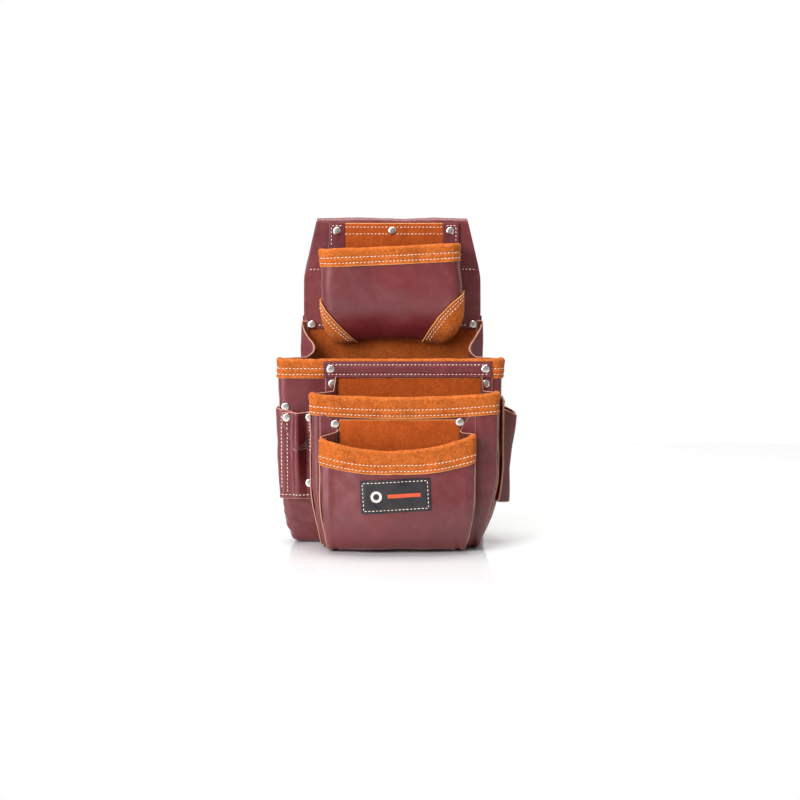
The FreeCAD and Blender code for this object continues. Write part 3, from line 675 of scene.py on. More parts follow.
class Rim:
    """Folded suede binding over a pocket's rim. drop(a) is how far it hangs down the front."""

    FRONT = 0.72                         # share t where the fold over the rim begins
    REAR = 1.28                          # and where it ends

    def __init__(self, body, top, drop, rows, puff=1.2):
        self.body, self.top, self.drop, self.rows, self.puff = body, top, drop, rows, puff

    def section(self, t, drop):
        """Offset from the leather's face and distance below the rim, along the fold. t runs from 0
        at the outer bottom edge, through 1 at the top, to 2 at the inner bottom edge."""
        radius = (HIDE + 2 * SUEDE) / 2 + self.puff * 0.35
        centre = SUEDE - radius + self.puff * 0.35
        outer = np.clip(t / self.FRONT, 0.0, 1.0)
        arc = np.clip((t - self.FRONT) / (self.REAR - self.FRONT), 0.0, 1.0) * math.pi
        inner = np.clip((t - self.REAR) / (2.0 - self.REAR), 0.0, 1.0)
        n = centre + radius * np.cos(arc)
        below = -radius * np.sin(arc) + (1 - outer) * drop + inner * drop + 0.6
        height = drop * outer
        on_front = t < self.FRONT
        for row in self.rows:
            n = n - np.where(on_front, 0.75 * hill(height, row, 1.5), 0.0)
        middle = (self.rows[0] + self.rows[-1]) / 2
        n = n + np.where(on_front, 0.35 * hill(height, middle, 2.0), 0.0)
        top_puff = hill(height, drop, 5.0) * self.puff * 0.6
        return n + np.where(on_front, top_puff, self.puff * 0.6 * np.cos(arc) * (inner < 0.01)), below

    def place(self, a, t):
        n, below = self.section(t, self.drop(a))
        z = self.top(a) - below
        z_on = np.minimum(z, self.body.b[-1])
        point = self.body.at(a, z_on) + self.body.normal(a, z_on) * n[..., None]
        point[..., 2] += z - z_on
        return point

    def surface(self, a0, a1, seed, cols=300, rows=90):
        a, t = np.meshgrid(np.linspace(a0, a1, cols), np.linspace(0.0, 2.0, rows))
        points = self.place(a.reshape(-1), t.reshape(-1)).reshape(rows, cols, 3)
        made = Surface(points, a[0], t[:, 0])
        wave = 0.28 * ripple(points, 26.0, seed) + 0.16 * ripple(points, 9.0, seed + 1)
        wave = wave * np.where(t < 0.05, 0.4, 1.0)
        return Surface(made.off(a, t, wave), a[0], t[:, 0])

    def build(self, name, a0, a1, seed, length):
        """The binding from a0 to a1, its lower corners rounded, with its rows of stitches."""
        surface = self.surface(a0, a1, seed)
        hang = float(np.mean(self.drop(np.array([a0, a1]))))
        a, t = grid(a0, a1, 0.0, 2.0, 1.7, 1.0, length, 2 * hang + 9.0)
        corner = 5.0
        above = hang * np.minimum(t, 2.0 - t) / self.FRONT
        bite = np.clip(1.0 - above / corner, 0.0, 1.0)
        inset = corner * (1.0 - np.sqrt(1.0 - bite ** 2)) / length * (a1 - a0)
        middle, half = (a0 + a1) / 2, (a1 - a0) / 2
        a = middle + (a - middle) * (half - inset) / half
        cover(name, surface, (a, t), SUEDE, SUEDE_SET, "suede", round_out=0.4)
        line = np.linspace(a0 + 0.012, a1 - 0.012, 500)
        for row in self.rows:
            sew_on(name, surface, line, self.FRONT * row / self.drop(line), 0.15)


def grid_across(b0, b1, a0, a1, step_a, step_b, size_a, size_b):
    """Like grid, but the two limits in a are functions of b."""
    cols = max(4, int(round(size_a / step_a)) + 1)
    rows = max(4, int(round(size_b / step_b)) + 1)
    line = np.linspace(b0, b1, rows)[:, None]
    share = np.linspace(0.0, 1.0, cols)
    return a0(line) + (a1(line) - a0(line)) * share, np.broadcast_to(line, (rows, cols)).copy()


def constant(value):
    return lambda places: np.full(places.shape, float(value))


def adopt(piece, slot, *nodes):
    """A finished piece: rides on the pouch and stands for its CAD nodes, which it hides. Its slot is not
    used.
    """
    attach(piece, "root")
    if nodes:
        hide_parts(*nodes)


def cover(node, surface, spread, thickness, materials, slot, **looks):
    """A sheet that stands for the CAD node of its own name."""
    adopt(sheet(node, surface, spread, thickness, materials, **looks), slot, node)


def cover_hide(node, surface, spread, materials=HIDE_SET):
    cover(node, surface, spread, HIDE, materials, "grain_leather")


# ---- the pouch's plan ------------------------------------------------------------------------
BACK_HALF = PANEL[1][0]
TOP_HALF = 86.0
SHOULDER_Z = 303.0
MAIN_X = (MAIN[0][0] + MAIN[1][0]) / 2
MAIN_HALF = (MAIN[1][0] - MAIN[0][0]) / 2
MAIN_RETURN = 20.0
LEFT_LEAN = 2.6                      # how far the left side leans in below the sleeve
RIGHT_LEAN = 10.0                    # and the right side, further, towards its foot
MIDDLE_RIM = bow(((-92.0, 176.6), (14.0, 172.4), (121.0, 177.8)))
FRONT_RIM = bow(((-84.0, 130.5), (4.0, 116.5), (96.0, 135.0)))
UPPER_RIM = bow(((-84.0, 333.5), (0.0, 337.0), (84.0, 341.0)))
MIDDLE_LEFT, MIDDLE_RIGHT = MIDDLE[0][0], MIDDLE[1][0]
FRONT_LEFT, FRONT_RIGHT = FRONT[0][0], FRONT[1][0]


def main_y(z):
    return MAIN_Y + draw_in(z)


def middle_y(z):
    return MIDDLE_Y + 1.3 * draw_in(z)


def front_y(z):
    return FRONT_Y + 1.6 * draw_in(z)


def main_sides(z):
    """The x of the main pocket's left and right sides at a height."""
    left = MAIN_X - MAIN_HALF + draw_in(z) + LEFT_LEAN * (1.0 - smooth(z, 50.0, 115.0))
    right = MAIN_X + MAIN_HALF - draw_in(z) - RIGHT_LEAN * (1.0 - smooth(z, 0.0, 95.0))
    return left, right


def main_plan(z, tuck):
    y = main_y(z) + tuck
    left, right = main_sides(z)
    left, right = left + 0.3 * tuck, right - 0.3 * tuck
    return [(left, y + MAIN_RETURN), (left, y), (right, y), (right, y + MAIN_RETURN)]


def middle_plan(z, tuck):
    y = middle_y(z) + tuck
    left = MIDDLE_LEFT + draw_in(z, 12.0, 80.0, 1.6) + 0.1 * tuck
    right = MIDDLE_RIGHT - draw_in(z, 21.0, 85.0, 1.35) - 0.3 * tuck
    return [(left, y + 15.0), (left, y), (right, y), (right, y + 15.0)]


def front_plan(z, tuck):
    y = front_y(z) + tuck
    left = FRONT_LEFT + draw_in(z, 9.0, 75.0, 1.9) + 0.1 * tuck
    right = FRONT_RIGHT - draw_in(z, 10.5, 75.0, 1.9) - 0.1 * tuck
    middle, half = (left + right) / 2, (right - left) / 2
    return [(left, y + 18.0), (left, y + 9.0), (middle - 0.45 * half, y), (middle + 0.45 * half, y),
            (right, y + 9.0), (right, y + 18.0)]


def pinch(points, x, width, deep, low, high):
    """A gathered dart at x: a groove with a puff each side, fading out from low up to high."""
    side = (points[..., 0] - x) / width
    shape = -deep * np.exp(-side ** 2) + 0.45 * deep * hill(np.abs(side), 2.1, 1.1)
    return shape * (1.0 - smooth(points[..., 2], low, high))


def main_swell(points, b):
    swell = 0.7 * ripple(points, 70.0, 3) + 0.25 * ripple(points, 24.0, 4)
    lower_left = (1.0 - smooth(points[..., 2], 25.0, 75.0)) * (1.0 - smooth(points[..., 0], -110.0, -80.0))
    creases = np.sin(0.55 * points[..., 2] + 0.12 * points[..., 0] + 1.6 * ripple(points, 40.0, 5))
    swell = swell + lower_left * (0.55 * creases + 0.6 * ripple(points, 14.0, 6))
    return swell * (1.0 - smooth(b, 190.0, 205.0)) * smooth(b, -20.0, 8.0)


def middle_swell(points, b):
    swell = 0.6 * ripple(points, 60.0, 13) + 0.22 * ripple(points, 20.0, 14)
    left, right = MIDDLE_LEFT + 8.0, MIDDLE_RIGHT - 8.0
    ridge = 1.3 * hill(points[..., 0], left, 4.0) + 0.9 * hill(points[..., 0] - right, -10.0, 5.0)
    swell = swell + ridge * smooth(b, 20.0, 60.0) * (1.0 - smooth(b, 150.0, 168.0))
    swell = swell + pinch(points, -66.0, 2.6, 2.6, 4.0, 26.0) + pinch(points, 92.0, 2.8, 2.6, 4.0, 28.0)
    return swell * (1.0 - smooth(b, 158.0, 172.0)) * smooth(b, -14.0, 2.0)


def front_swell(points, b):
    swell = 0.6 * ripple(points, 55.0, 23) + 0.2 * ripple(points, 18.0, 24)
    belly = 2.2 * hill(points[..., 2], 45.0, 34.0) * hill(points[..., 0], 4.0, 55.0)
    ridge = 1.1 * hill(points[..., 0] - FRONT_LEFT, 9.0, 4.0)
    ridge = ridge + 1.1 * hill(points[..., 0] - FRONT_RIGHT, -9.0, 4.0)
    swell = swell + belly + ridge * smooth(b, 20.0, 50.0) * (1.0 - smooth(b, 100.0, 118.0))
    swell = swell + pinch(points, -63.0, 2.4, 1.4, 2.0, 18.0) + pinch(points, 74.0, 2.4, 1.6, 2.0, 20.0)
    return swell * (1.0 - smooth(b, 112.0, 126.0)) * smooth(b, -12.0, 2.0)


GUSSET_ROWS = 150
GUSSET_COLS = 160


def gusset_surface(plan, radii, low, high, seed):
    """Upright leather along a plan path that changes with its height."""
    heights = np.linspace(low, high, GUSSET_ROWS)
    table = np.zeros((GUSSET_ROWS, GUSSET_COLS, 3))
    for row, z in enumerate(heights):
        table[row, :, :2] = rounded(plan(float(z)), radii, GUSSET_COLS)
        table[row, :, 2] = z
    made = Surface(table, np.linspace(0.0, 1.0, GUSSET_COLS), heights)
    a, b = np.meshgrid(made.a, heights)
    return Surface(made.off(a, b, 0.5 * ripple(table, 30.0, seed)), made.a, heights)


def flat_ripple(x, z, size, seed):
    """The ripple of a flat sheet, whatever its depth."""
    return ripple(np.stack([x, z, 0 * x], axis=-1), size, seed)


# ---- back ------------------------------------------------------------------------------------
PANEL_BACK = PANEL[1][1]
TUNNEL_FOOT = 322.0                  # where the tunnel's rear slopes in to the flap
FLAP_TOP = 314.0
FLAP_FOOT = 304.0
FLAP_SEAM = 310.5
LOWER_SIDE_SEAM = 17.0               # in from the lower panel's side
BACKING_TOP = 250.0
BACKING_INSET = 3.5
BACKING_THICK = 0.9


def panel_half(z):
    rise = z - SHOULDER_Z
    soft = rise / 2 + np.sqrt(rise ** 2 / 4 + 10.0)
    return BACK_HALF - (BACK_HALF - TOP_HALF) * soft / (PANEL_TOP - SHOULDER_Z)


def make_upper_back_panel():
    """Front sheet of the upper back, folded over to the rear and sewn down as the belt tunnel."""
    flap = FACE_Y + 2 * HIDE + 0.1
    profile = rounded([(FACE_Y, PANEL_FOOT), (FACE_Y, PANEL_TOP), (PANEL_BACK, PANEL_TOP),
                       (PANEL_BACK, TUNNEL_FOOT), (flap, FLAP_TOP), (flap, FLAP_FOOT)],
                      [5.0, 5.0, 9.0, 6.0], 420)
    steps = np.linalg.norm(np.diff(profile, axis=0), axis=1)
    run = np.concatenate([[0.0], np.cumsum(steps)])
    across = np.linspace(-1.0, 1.0, 260)
    a, b = np.meshgrid(across, run)
    y = np.interp(b, run, profile[:, 0])
    z = np.interp(b, run, profile[:, 1])
    points = np.stack([a * panel_half(z), y, z], axis=-1)
    made = Surface(points, across, run)
    lip = 1.0 * (1.0 - smooth(z, 246.0, 256.0)) * (b < 40.0)
    seam = 0.5 * hill(z, FLAP_SEAM, 3.0)
    wave = 0.45 * ripple(points, 60.0, 31) + 0.18 * ripple(points, 20.0, 32)
    hold = smooth(np.abs(z - FLAP_SEAM), 2.0, 14.0)
    surface = Surface(made.off(a, b, lip - seam + wave * (0.25 + 0.75 * hold) - 0.3), across, run)
    spread = grid(-1.0, 1.0, 0.0, run[-1], 2.0, 2.0, 2 * BACK_HALF, run[-1])
    cover_hide("upper_back_panel", surface, spread)
    line = np.linspace(-0.965, 0.965, 600)
    sew_on("back_panel", surface, line, FLAP_SEAM - PANEL_FOOT)
    sew_on("back_panel", surface, line, run[-1] - 6.5)
    lower = np.linspace(-0.85, 0.85, 600)
    sew_on("back_panel", surface, lower, 4.2)
    for side in (-1, 1):
        rear = np.linspace(run[-1] - 8.0, run[-1] - 58.0, 160)
        sew_on("back_panel", surface, side * 0.955, rear)


def make_lower_back_panel():
    half, top = LOWER_BACK[1][0], LOWER_BACK[1][2]
    corner = 14.0
    edge = 4.0                           # of its seam, in from its outline

    def foot(x):
        past = np.clip(np.abs(x) - (half - corner), 0.0, corner)
        return corner - np.sqrt(corner ** 2 - past ** 2) + 0.0 * x

    def points(x, z):
        base = np.stack([x, np.full(x.shape, HIDE), z], axis=-1)
        return base + np.stack([0 * x, 0.3 * ripple(base, 60.0, 41) - 0.3, 0 * x], axis=-1)

    surface = drawn(points, np.linspace(-half, half, 160), np.linspace(0.0, top, 160), -1.0)
    spread = grid(-half, half, foot, top, 2.4, 2.4, 2 * half, top)
    cover_hide("lower_back_panel", surface, spread)
    side = np.linspace(corner + 2.0, top - edge, 300)
    for x in (-half + edge, half - edge):
        sew_on("lower_back", surface, x, side)
    line = np.linspace(-half + edge, half - edge, 400)
    sew_on("lower_back", surface, line, top - edge)
    turn = np.linspace(0.0, math.pi / 2, 40)
    reach = corner - edge
    for way in (-1, 1):
        sew_on("lower_back", surface, way * (half - corner + reach * np.sin(turn)),
               corner - reach * np.cos(turn))
    sew_on("lower_back", surface, np.linspace(-half + corner, half - corner, 400), edge)
    for x in (-half + LOWER_SIDE_SEAM, half - LOWER_SIDE_SEAM):
        sew_on("lower_back", surface, x, np.linspace(edge, top - edge, 400))


def make_main_backing():
    half = BACK_HALF - BACKING_INSET
    surface = flat(FACE_Y + BACKING_THICK, -half, half, HIDE, BACKING_TOP, 1.0,
                   lambda x, z: 0.4 * flat_ripple(x, z, 40.0, 51) + 0.6)
    spread = grid(-half, half, HIDE, BACKING_TOP, 3.0, 3.0, 2 * half, BACKING_TOP)
    # the main backing wears the brown suede copy, mostly painted shade of its recess
    cover("main_pocket_backing", surface, spread, BACKING_THICK, SHADED_BROWN_SET, "suede")


# ---- main pocket -----------------------------------------------------------------------------
GUSSET_OUT = 107.5                   # how far out the gussets bulge beside the back panel
GUSSET_IN = 98.5                     # and where their strips on it begin
GUSSET_TOP = 256.0
SOLE_HALF = 103.0
RIM_ENDS = (0.004, 0.996)            # a binding's ends, as shares of the pocket's length


def gusset_top(y):
    """Height of the main gussets' sloping top edge."""
    return np.interp(-y, (2.0, 6.0, 9.0, 33.0), (253.0, 247.0, 241.0, MAIN_RIM))


def make_main_pocket():
    surface = pocket(main_plan, MAIN_RIM + 3.0, 45.0, ((-SOLE_HALF, -0.3), (SOLE_HALF, -0.3)), (9.0, 9.0),
                     main_swell)
    spread = grid(0.0, 1.0, surface.b[0], MAIN_RIM - 0.5, 2.1, 2.1, 294.0, 262.0)
    cover_hide("main_pocket_front", surface, spread)

    for side, word in ((-1, "left"), (1, "right")):
        def plan(z, side=side):
            left = abs(main_sides(z)[0 if side < 0 else 1])
            seam_y = main_y(z) + MAIN_RETURN
            fold_in = np.interp(z, (65.0, MAIN_RIM), (3.0, 30.0))
            fold = ((GUSSET_OUT + left) / 2 - fold_in, (seam_y - HIDE) / 2)
            line = [(GUSSET_IN, -HIDE - 1.0), (GUSSET_OUT, -HIDE - 1.0), fold, (left - 0.6, seam_y + 5.0),
                    (left - 0.6, seam_y - 3.0)]
            return [(-x, y) for x, y in line] if side < 0 else line[::-1]

        radii = (1.6, 6.0, 5.0) if side < 0 else (5.0, 6.0, 1.6)
        made = gusset_surface(plan, radii, HIDE, GUSSET_TOP, 60 + side)

        def top(a, made=made):
            level = np.full(a.shape, 225.0)
            for _ in range(5):
                level = gusset_top(made.at(a, level)[..., 1])
            return level

        spread = grid(0.0, 1.0, HIDE, top, 1.6, 2.4, 105.0, 240.0)
        cover_hide("main_pocket_gusset_" + word, made, spread, GUSSET_SET)

    rim = Rim(surface, constant(MAIN_RIM), constant(19.0), (4.4, 10.9))
    rim.build("main_pocket_binding", *RIM_ENDS, 71, 290.0)


def make_rim_band():
    x0, x1 = BAND[0][0], BAND[1][0]
    z0, z1 = BAND[0][2] - 0.6, BAND[1][2] + 0.6
    face = BAND[0][1] - 0.3
    edge = 3.2                           # of its seam, in from its outline

    def lift(x, z):
        near = np.minimum(np.minimum(x - x0, x1 - x), np.minimum(z - z0, z1 - z))
        groove = 0.5 * hill(near, edge, 1.2)
        return 0.5 * smooth(near, 3.0, 7.0) - groove + 0.25 * flat_ripple(x, z, 30.0, 75)

    surface = flat(face, x0, x1, z0, z1, 1.0, lift)
    spread = grid(x0, x1, z0, z1, 1.6, 1.0, x1 - x0, z1 - z0)
    cover_hide("rim_band", surface, spread)
    across = np.linspace(x0 + edge, x1 - edge, 500)
    sew_on("rim_band", surface, across, z0 + edge)
    sew_on("rim_band", surface, across, z1 - edge)
    for x in (x0 + edge, x1 - edge):
        sew_on("rim_band", surface, x, np.linspace(z0 + edge + 3.0, z1 - edge - 3.0, 40))


# ---- middle and front pockets ------------------------------------------------------------------
SMALL_LENGTH = 235.0                 # of a small pocket's leather, round its front
LABEL_THICK = 1.3
LABEL_TILT = 3.0                     # degrees
LABEL_SHIFT = 1.5                    # to the right of its CAD node
RING_RADII = (3.6, 6.2)
BAR_HALF = 2.0
FOIL = 0.25


def bellows(word, hand, plan, back_y, flange, tops, seed):
    """Gusset folded like a bellows: a leg flat on the leather behind, a fold, and a leg out to the
    pocket's corner. flange is its (outer, fold) x, and tops the heights of its top edge at the outer
    end, at the fold, just past the fold and at the corner."""
    side = -1 if hand == "left" else 1
    outer, fold = flange
    thick = 1.5
    clear = thick + 0.4                  # stands outside the front leather's return

    def outline(z):
        corners = plan(z, 0.0)
        seam_x, seam_y = corners[0] if side < 0 else corners[-1]
        seam_x += side * clear
        y = back_y(z) - thick
        shift = side * draw_in(z)
        line = [(outer - shift, y), (fold - 0.4 * shift, y), (seam_x, seam_y + 4.0), (seam_x, seam_y - 5.0)]
        return line if side < 0 else line[::-1]

    outer_z, fold_z, past_z, corner_z = tops
    runs = np.linalg.norm(np.diff(np.array(outline(corner_z)), axis=0), axis=1)
    if side > 0:
        runs = runs[::-1]
    share_fold = runs[0] / runs.sum()
    made = gusset_surface(outline, (2.2, 4.0) if side < 0 else (4.0, 2.2), HIDE, outer_z + 2.0, seed)

    def top(a):
        way = a if side < 0 else 1.0 - a
        leg = np.clip(way / share_fold, 0.0, 1.0)
        rear = outer_z + (fold_z - outer_z) * leg ** 2.2
        front = np.interp(way, (share_fold, share_fold + 0.05, 1.0), (fold_z, past_z, corner_z))
        return np.where(way < share_fold, rear, front)

    spread = grid(0.0, 1.0, HIDE, top, 1.0, 2.2, 75.0, 185.0)
    cover(word + "_gusset_" + hand, made, spread, thick, GUSSET_SET, "grain_leather")


def make_small_pocket(word, plan, swell, roundings, rim, top, sole, rear, flanges, tops, back_y,
                      back_top, drop, seed, arch):
    """Front leather, gussets, suede backing and binding of the middle or front pocket. rear is the
    line that its sole runs back to, and drop how far its binding hangs. See pocket and bellows."""
    surface = pocket(plan, top, sole, rear, roundings, swell, arch)
    edge = rim_heights(surface, rim)
    spread = grid(0.0, 1.0, surface.b[0], lambda a: edge(a) - 0.5, 1.9, 1.9, SMALL_LENGTH, 190.0)
    cover_hide(word + "_front", surface, spread)

    for k, hand in enumerate(("left", "right")):
        corner_z = float(rim(np.array(200.0 * (2 * k - 1)))) - 1.0
        bellows(word, hand, plan, back_y, flanges[k], tops[k] + (corner_z,), seed + 5 + k)

    x0, x1 = flanges[0][1] - 3.0, flanges[1][1] + 3.0

    def points(x, z):
        y = np.array([back_y(v) for v in z[:, 0]])[:, None] + 0 * x
        base = np.stack([x, y, z], axis=-1)
        base[..., 1] -= 0.6 + 0.25 * ripple(base, 35.0, seed + 9)
        return base

    back = drawn(points, np.linspace(x0, x1, 120), np.linspace(HIDE, back_top + 1.0, 160))
    spread = grid_across(HIDE, back_top, lambda z: x0 + draw_in(z), lambda z: x1 - draw_in(z), 2.6, 2.6,
                         x1 - x0, back_top)
    # the backing wears the darker suede copy: painted shade of the recess behind the pocket
    cover(word + "_backing", back, spread, SUEDE - 0.3, SHADED_BACKING_SET, "suede")

    fold = Rim(surface, edge, drop, (2.9, 9.4), 1.6)
    fold.build(word + "_binding", *RIM_ENDS, seed + 11, SMALL_LENGTH)
    return surface


def make_label(surface):
    """Black patch, tilted a little, with a stitched border and a plain ring and bar."""
    tilt = math.tan(math.radians(LABEL_TILT))
    edge = 2.6                           # of its seam, in from its outline
    x0, x1 = LABEL[0][0], LABEL[1][0]
    z0, z1 = LABEL[0][2], LABEL[1][2]
    middle_x, middle_z = (x0 + x1) / 2 + LABEL_SHIFT, (z0 + z1) / 2

    def patch(x, z):
        """Places on the pocket of label points, given from its middle."""
        height = middle_z + z + tilt * x
        tries = np.linspace(0.1, 0.9, 900)
        line_x = surface.at(tries, np.full(900, middle_z))[:, 0]
        return np.interp(middle_x + x - tilt * z, line_x, tries), height

    half_x, half_z = (x1 - x0) / 2, (z1 - z0) / 2 - 1.0
    x, z = np.meshgrid(np.linspace(-half_x, half_x, 60), np.linspace(-half_z, half_z, 34))
    a, b = patch(x, z)
    near = np.minimum(half_x - np.abs(x), half_z - np.abs(z))
    lift = LABEL_THICK + 0.3 * smooth(near, 2.5, 5.0) - 0.3 * hill(near, edge, 0.9)
    points = surface.off(a, b, lift)
    made = Surface(points, x[0], z[:, 0])
    cover("label_patch", made, (x, z), LABEL_THICK, [BLACK] * 3, "label")
    across = np.linspace(-half_x + edge, half_x - edge, 200)
    upright = np.linspace(-half_z + edge, half_z - edge, 100)
    for level in (-half_z + edge, half_z - edge):
        sew_on("label", made, across, level, 0.0, 0.0)
    for level in (-half_x + edge, half_x - edge):
        sew_on("label", made, level, upright, 0.0, 0.0)
    make_label_motif(made, half_x)


def make_label_motif(patch, half_x):
    """A plain ring and a plain bar, stamped on the label. They stand for no mark."""
    turn, radius = np.meshgrid(np.linspace(2 * math.pi, 0.0, 60), np.linspace(*RING_RADII, 5))
    ring = (-0.55 * half_x + radius * np.cos(turn), radius * np.sin(turn))
    adopt(sheet("label_ring", patch, ring, FOIL, [FOIL_CREAM] * 3, 0.3), "label")
    bar = grid(-0.22 * half_x, 0.72 * half_x, -BAR_HALF, BAR_HALF, 1.5, 1.0, half_x, 2 * BAR_HALF)
    adopt(sheet("label_bar", patch, bar, FOIL, [FOIL_ORANGE] * 3, 0.3), "label")


# ---- upper pocket ----------------------------------------------------------------------------
UPPER_FOOT = UPPER[0][2]
RIGHT_TAPER = 5.5                    # how much its right side leans in at the rim
UPPER_REAR_Y = FACE_Y - 0.8
UPPER_LENGTH = 245.0                 # of its leather, round the front
UPPER_BACKING = (-57.0, 61.0, 245.0, 363.5)          # left, right, foot and top
UPPER_SEAMS = (359.3, 351.5)
EARS = ((-1, 55.0, 73.0), (1, 59.0, 76.5))           # side, inner and outer edge
LEFT_LEAF = ((0.0, 41.0), (11.0, 50.5), (24.0, 61.5), (40.0, 75.0), (51.0, 81.5))
RIGHT_LEAF = ((0.0, 35.0), (16.0, 43.0), (33.0, 53.0), (50.0, 69.0), (60.0, 81.5))
EAR_FOOT = 305.0
EAR_BEND = 345.0
EAR_TOP = 364.0


def upper_half(z):
    share = np.clip((z - UPPER_FOOT) / 50.0, 0.0, 1.0)
    return 60.0 + 21.5 * (1.0 - (1.0 - share) ** 3)


def upper_depth(z):
    share = np.clip((z - UPPER_FOOT) / 119.0, 0.0, 1.0)
    return 15.0 + 30.5 * (1.0 - (1.0 - share) ** 3.3)


def upper_surface():
    """The upper pocket's leather, from the bend at its foot up to the rim."""
    sole = 9.0
    top = 346.0 - UPPER_FOOT
    heights = np.linspace(ROLL_TOP - ROLL_END - sole, top, ROWS)
    share = np.linspace(0.0, 1.0, COLS)
    table = np.zeros((ROWS, COLS, 3))
    for row, b in enumerate(heights):
        z, tuck, back = foot_line(np.array(b), sole)
        level = UPPER_FOOT + float(z)
        half = upper_half(level) - 0.4 * float(tuck)
        y = UPPER_REAR_Y - upper_depth(level) + float(tuck)
        right = half - RIGHT_TAPER * smooth(level, 280.0, 335.0)
        line = rounded([(-half, UPPER_REAR_Y), (-half, y), (right, y), (right, UPPER_REAR_Y)],
                       (13.0, 13.0), COLS)
        target = np.stack([half * (2 * share - 1), np.full(COLS, UPPER_REAR_Y)], axis=1)
        table[row, :, :2] = line * (1 - back) + target * back
        bowl = 4.5 * (1.0 - (table[row, :, 0] / 60.0) ** 2)
        table[row, :, 2] = level + np.maximum(bowl, -1.0) * (1.0 - smooth(float(b), 0.0, 45.0))
    body = Surface(table, share, heights)
    a, b = np.meshgrid(share, heights)
    swell = 0.6 * ripple(table, 60.0, 83) + 0.2 * ripple(table, 20.0, 84)
    swell = swell + 1.5 * hill(table[..., 2], 275.0, 30.0) * hill(table[..., 0], 0.0, 45.0)
    swell = swell * smooth(b, -8.0, 6.0) * (1.0 - smooth(b, 96.0, 106.0))
    return Surface(body.off(a, b, swell), share, heights)


def make_upper_pocket():
    surface = upper_surface()

    def edge(a):
        guess = np.full(a.shape, 330.0 - UPPER_FOOT)
        return UPPER_RIM(surface.at(a, guess)[:, 0]) - UPPER_FOOT

    spread = grid(0.0, 1.0, surface.b[0], lambda a: edge(a) - 0.5, 1.9, 1.7, UPPER_LENGTH, 128.0)
    cover_hide("upper_pocket_front", surface, spread)
    make_leaf(surface, -1, "left", LEFT_LEAF)
    make_leaf(surface, 1, "right", RIGHT_LEAF)
    make_ears()

    x0, x1, z0, z1 = UPPER_BACKING
    backing = flat(FACE_Y - SUEDE - 0.1, x0, x1, z0, z1, 1.0,
                   lambda x, z: 0.3 * flat_ripple(x, z, 40.0, 86))
    spread = grid(x0, x1, z0, z1, 2.4, 2.4, 118.0, 118.0)
    # the backing wears the darker suede copy: painted shade of the recess behind the pocket
    cover("upper_pocket_backing", backing, spread, SUEDE, SHADED_BACKING_SET, "suede")
    line = np.linspace(x0 + 2.0, x1 - 2.0, 400)
    for z in UPPER_SEAMS:
        sew_on("upper_backing", backing, line, z)

    fold = Rim(surface, edge, constant(17.0), (3.6, 9.8), 1.6)
    fold.build("upper_pocket_binding", 0.135, 0.865, 91, 185.0)


def make_leaf(surface, side, word, curve):
    """Suede corner of the upper pocket. curve gives its inner edge as (height above the foot, |x|)."""
    heights, widths = zip(*curve)
    tries = np.linspace(0.0, 0.5, 400) if side < 0 else np.linspace(1.0, 0.5, 400)

    def inner(b):
        flat_b = b.reshape(-1)
        want = np.interp(flat_b, heights, widths)
        found = []
        for level, width in zip(flat_b, want):
            reach = np.abs(surface.at(tries, np.full(400, level))[:, 0])
            corner = int(np.argmax(reach))
            found.append(float(np.interp(-width, -reach[corner:], tries[corner:])))
        return np.array(found).reshape(b.shape)

    low, high = surface.b[0] + 3.0, heights[-1]
    rear = constant(0.004 if side < 0 else 0.996)
    first, second = (rear, inner) if side < 0 else (inner, rear)
    a, b = grid_across(low, high, first, second, 1.4, 1.4, 90.0, high - low)
    near = np.abs(a - inner(b[:, :1])) * UPPER_LENGTH
    lift = SUEDE + 0.5 + 0.5 * hill(near, 0.0, 2.2) - 0.4 * hill(near, 4.2, 1.2)
    cover("upper_pocket_corner_" + word, surface, (a, b), SUEDE, SUEDE_SET, "suede", lift=lift)
    for inset in (3.8, 8.2):
        level = np.linspace(3.0, high - inset * 0.9, 200)
        place = inner(level[:, None])[:, 0] + side * inset * 1.25 / UPPER_LENGTH
        sew_on("leaf_" + word, surface, place, level, SUEDE + 0.55)


def make_ears():
    """The front leather's two ears, riveted and sewn to the back panel."""
    y = FACE_Y - HIDE - 0.4
    for side, inner, outer in EARS:
        surface = flat(y, -90.0, 90.0, 300.0, 366.0, 1.0,
                       lambda x, z: 0.35 * flat_ripple(x, z, 22.0, 95))
        wide = (lambda z, o=outer: np.interp(z, (EAR_FOOT, EAR_BEND), (o + 5.0, o)))
        if side < 0:
            limits = (lambda z, w=wide: -w(z)), constant(-inner)
        else:
            limits = constant(inner), wide
        spread = grid_across(EAR_FOOT, EAR_TOP, limits[0], limits[1], 1.2, 1.6, 20.0, 59.0)
        word = "left" if side < 0 else "right"
        piece = sheet("upper_pocket_ear_" + word, surface, spread, HIDE, HIDE_SET)
        adopt(piece, "grain_leather")
        edge = 2.8
        sew_on("ears", surface, np.linspace(side * (inner + edge), side * (outer - edge), 30), 361.0)
        sew_on("ears", surface, side * (outer - edge), np.linspace(338.0, 360.0, 40))


# ---- sleeves ---------------------------------------------------------------------------------
LEFT_TUBE = (-112.0, -97.6)
TUBE_RIDGE = 6.0                     # its ridge lies this far from its left side
TUBE_SLANT = 2.0
SLEEVE_GAP = 0.3                     # between a sleeve and the leather behind it
SLEEVE_SEAMS = ((-125.5, 66.0, 150.0), (-119.0, 61.0, 130.0), (-93.8, 108.0, 128.0))   # x, foot, top
LOOP_ENDS = (-124.0, -89.0)
LOOP_TOP = 153.0
LOOP_RISE = 9.0
LOOP_SEAMS = ((-119.0, 133.0, 142.0), (-93.8, 131.0, 142.0))
RIGHT_Y = (-70.0, -35.0)
RIGHT_FOOT = 49.0
RIGHT_BACK_TOP = 167.0


def place_at(surface, x, z):
    """The place a where a sleeve's surface reaches x at height z, on its front."""
    tries = np.linspace(0.0, 1.0, 500)
    row = surface.at(tries, np.full(500, float(z)))
    start = int(np.argmin(row[:, 0]))
    return float(np.interp(x, row[start:, 0], tries[start:]))


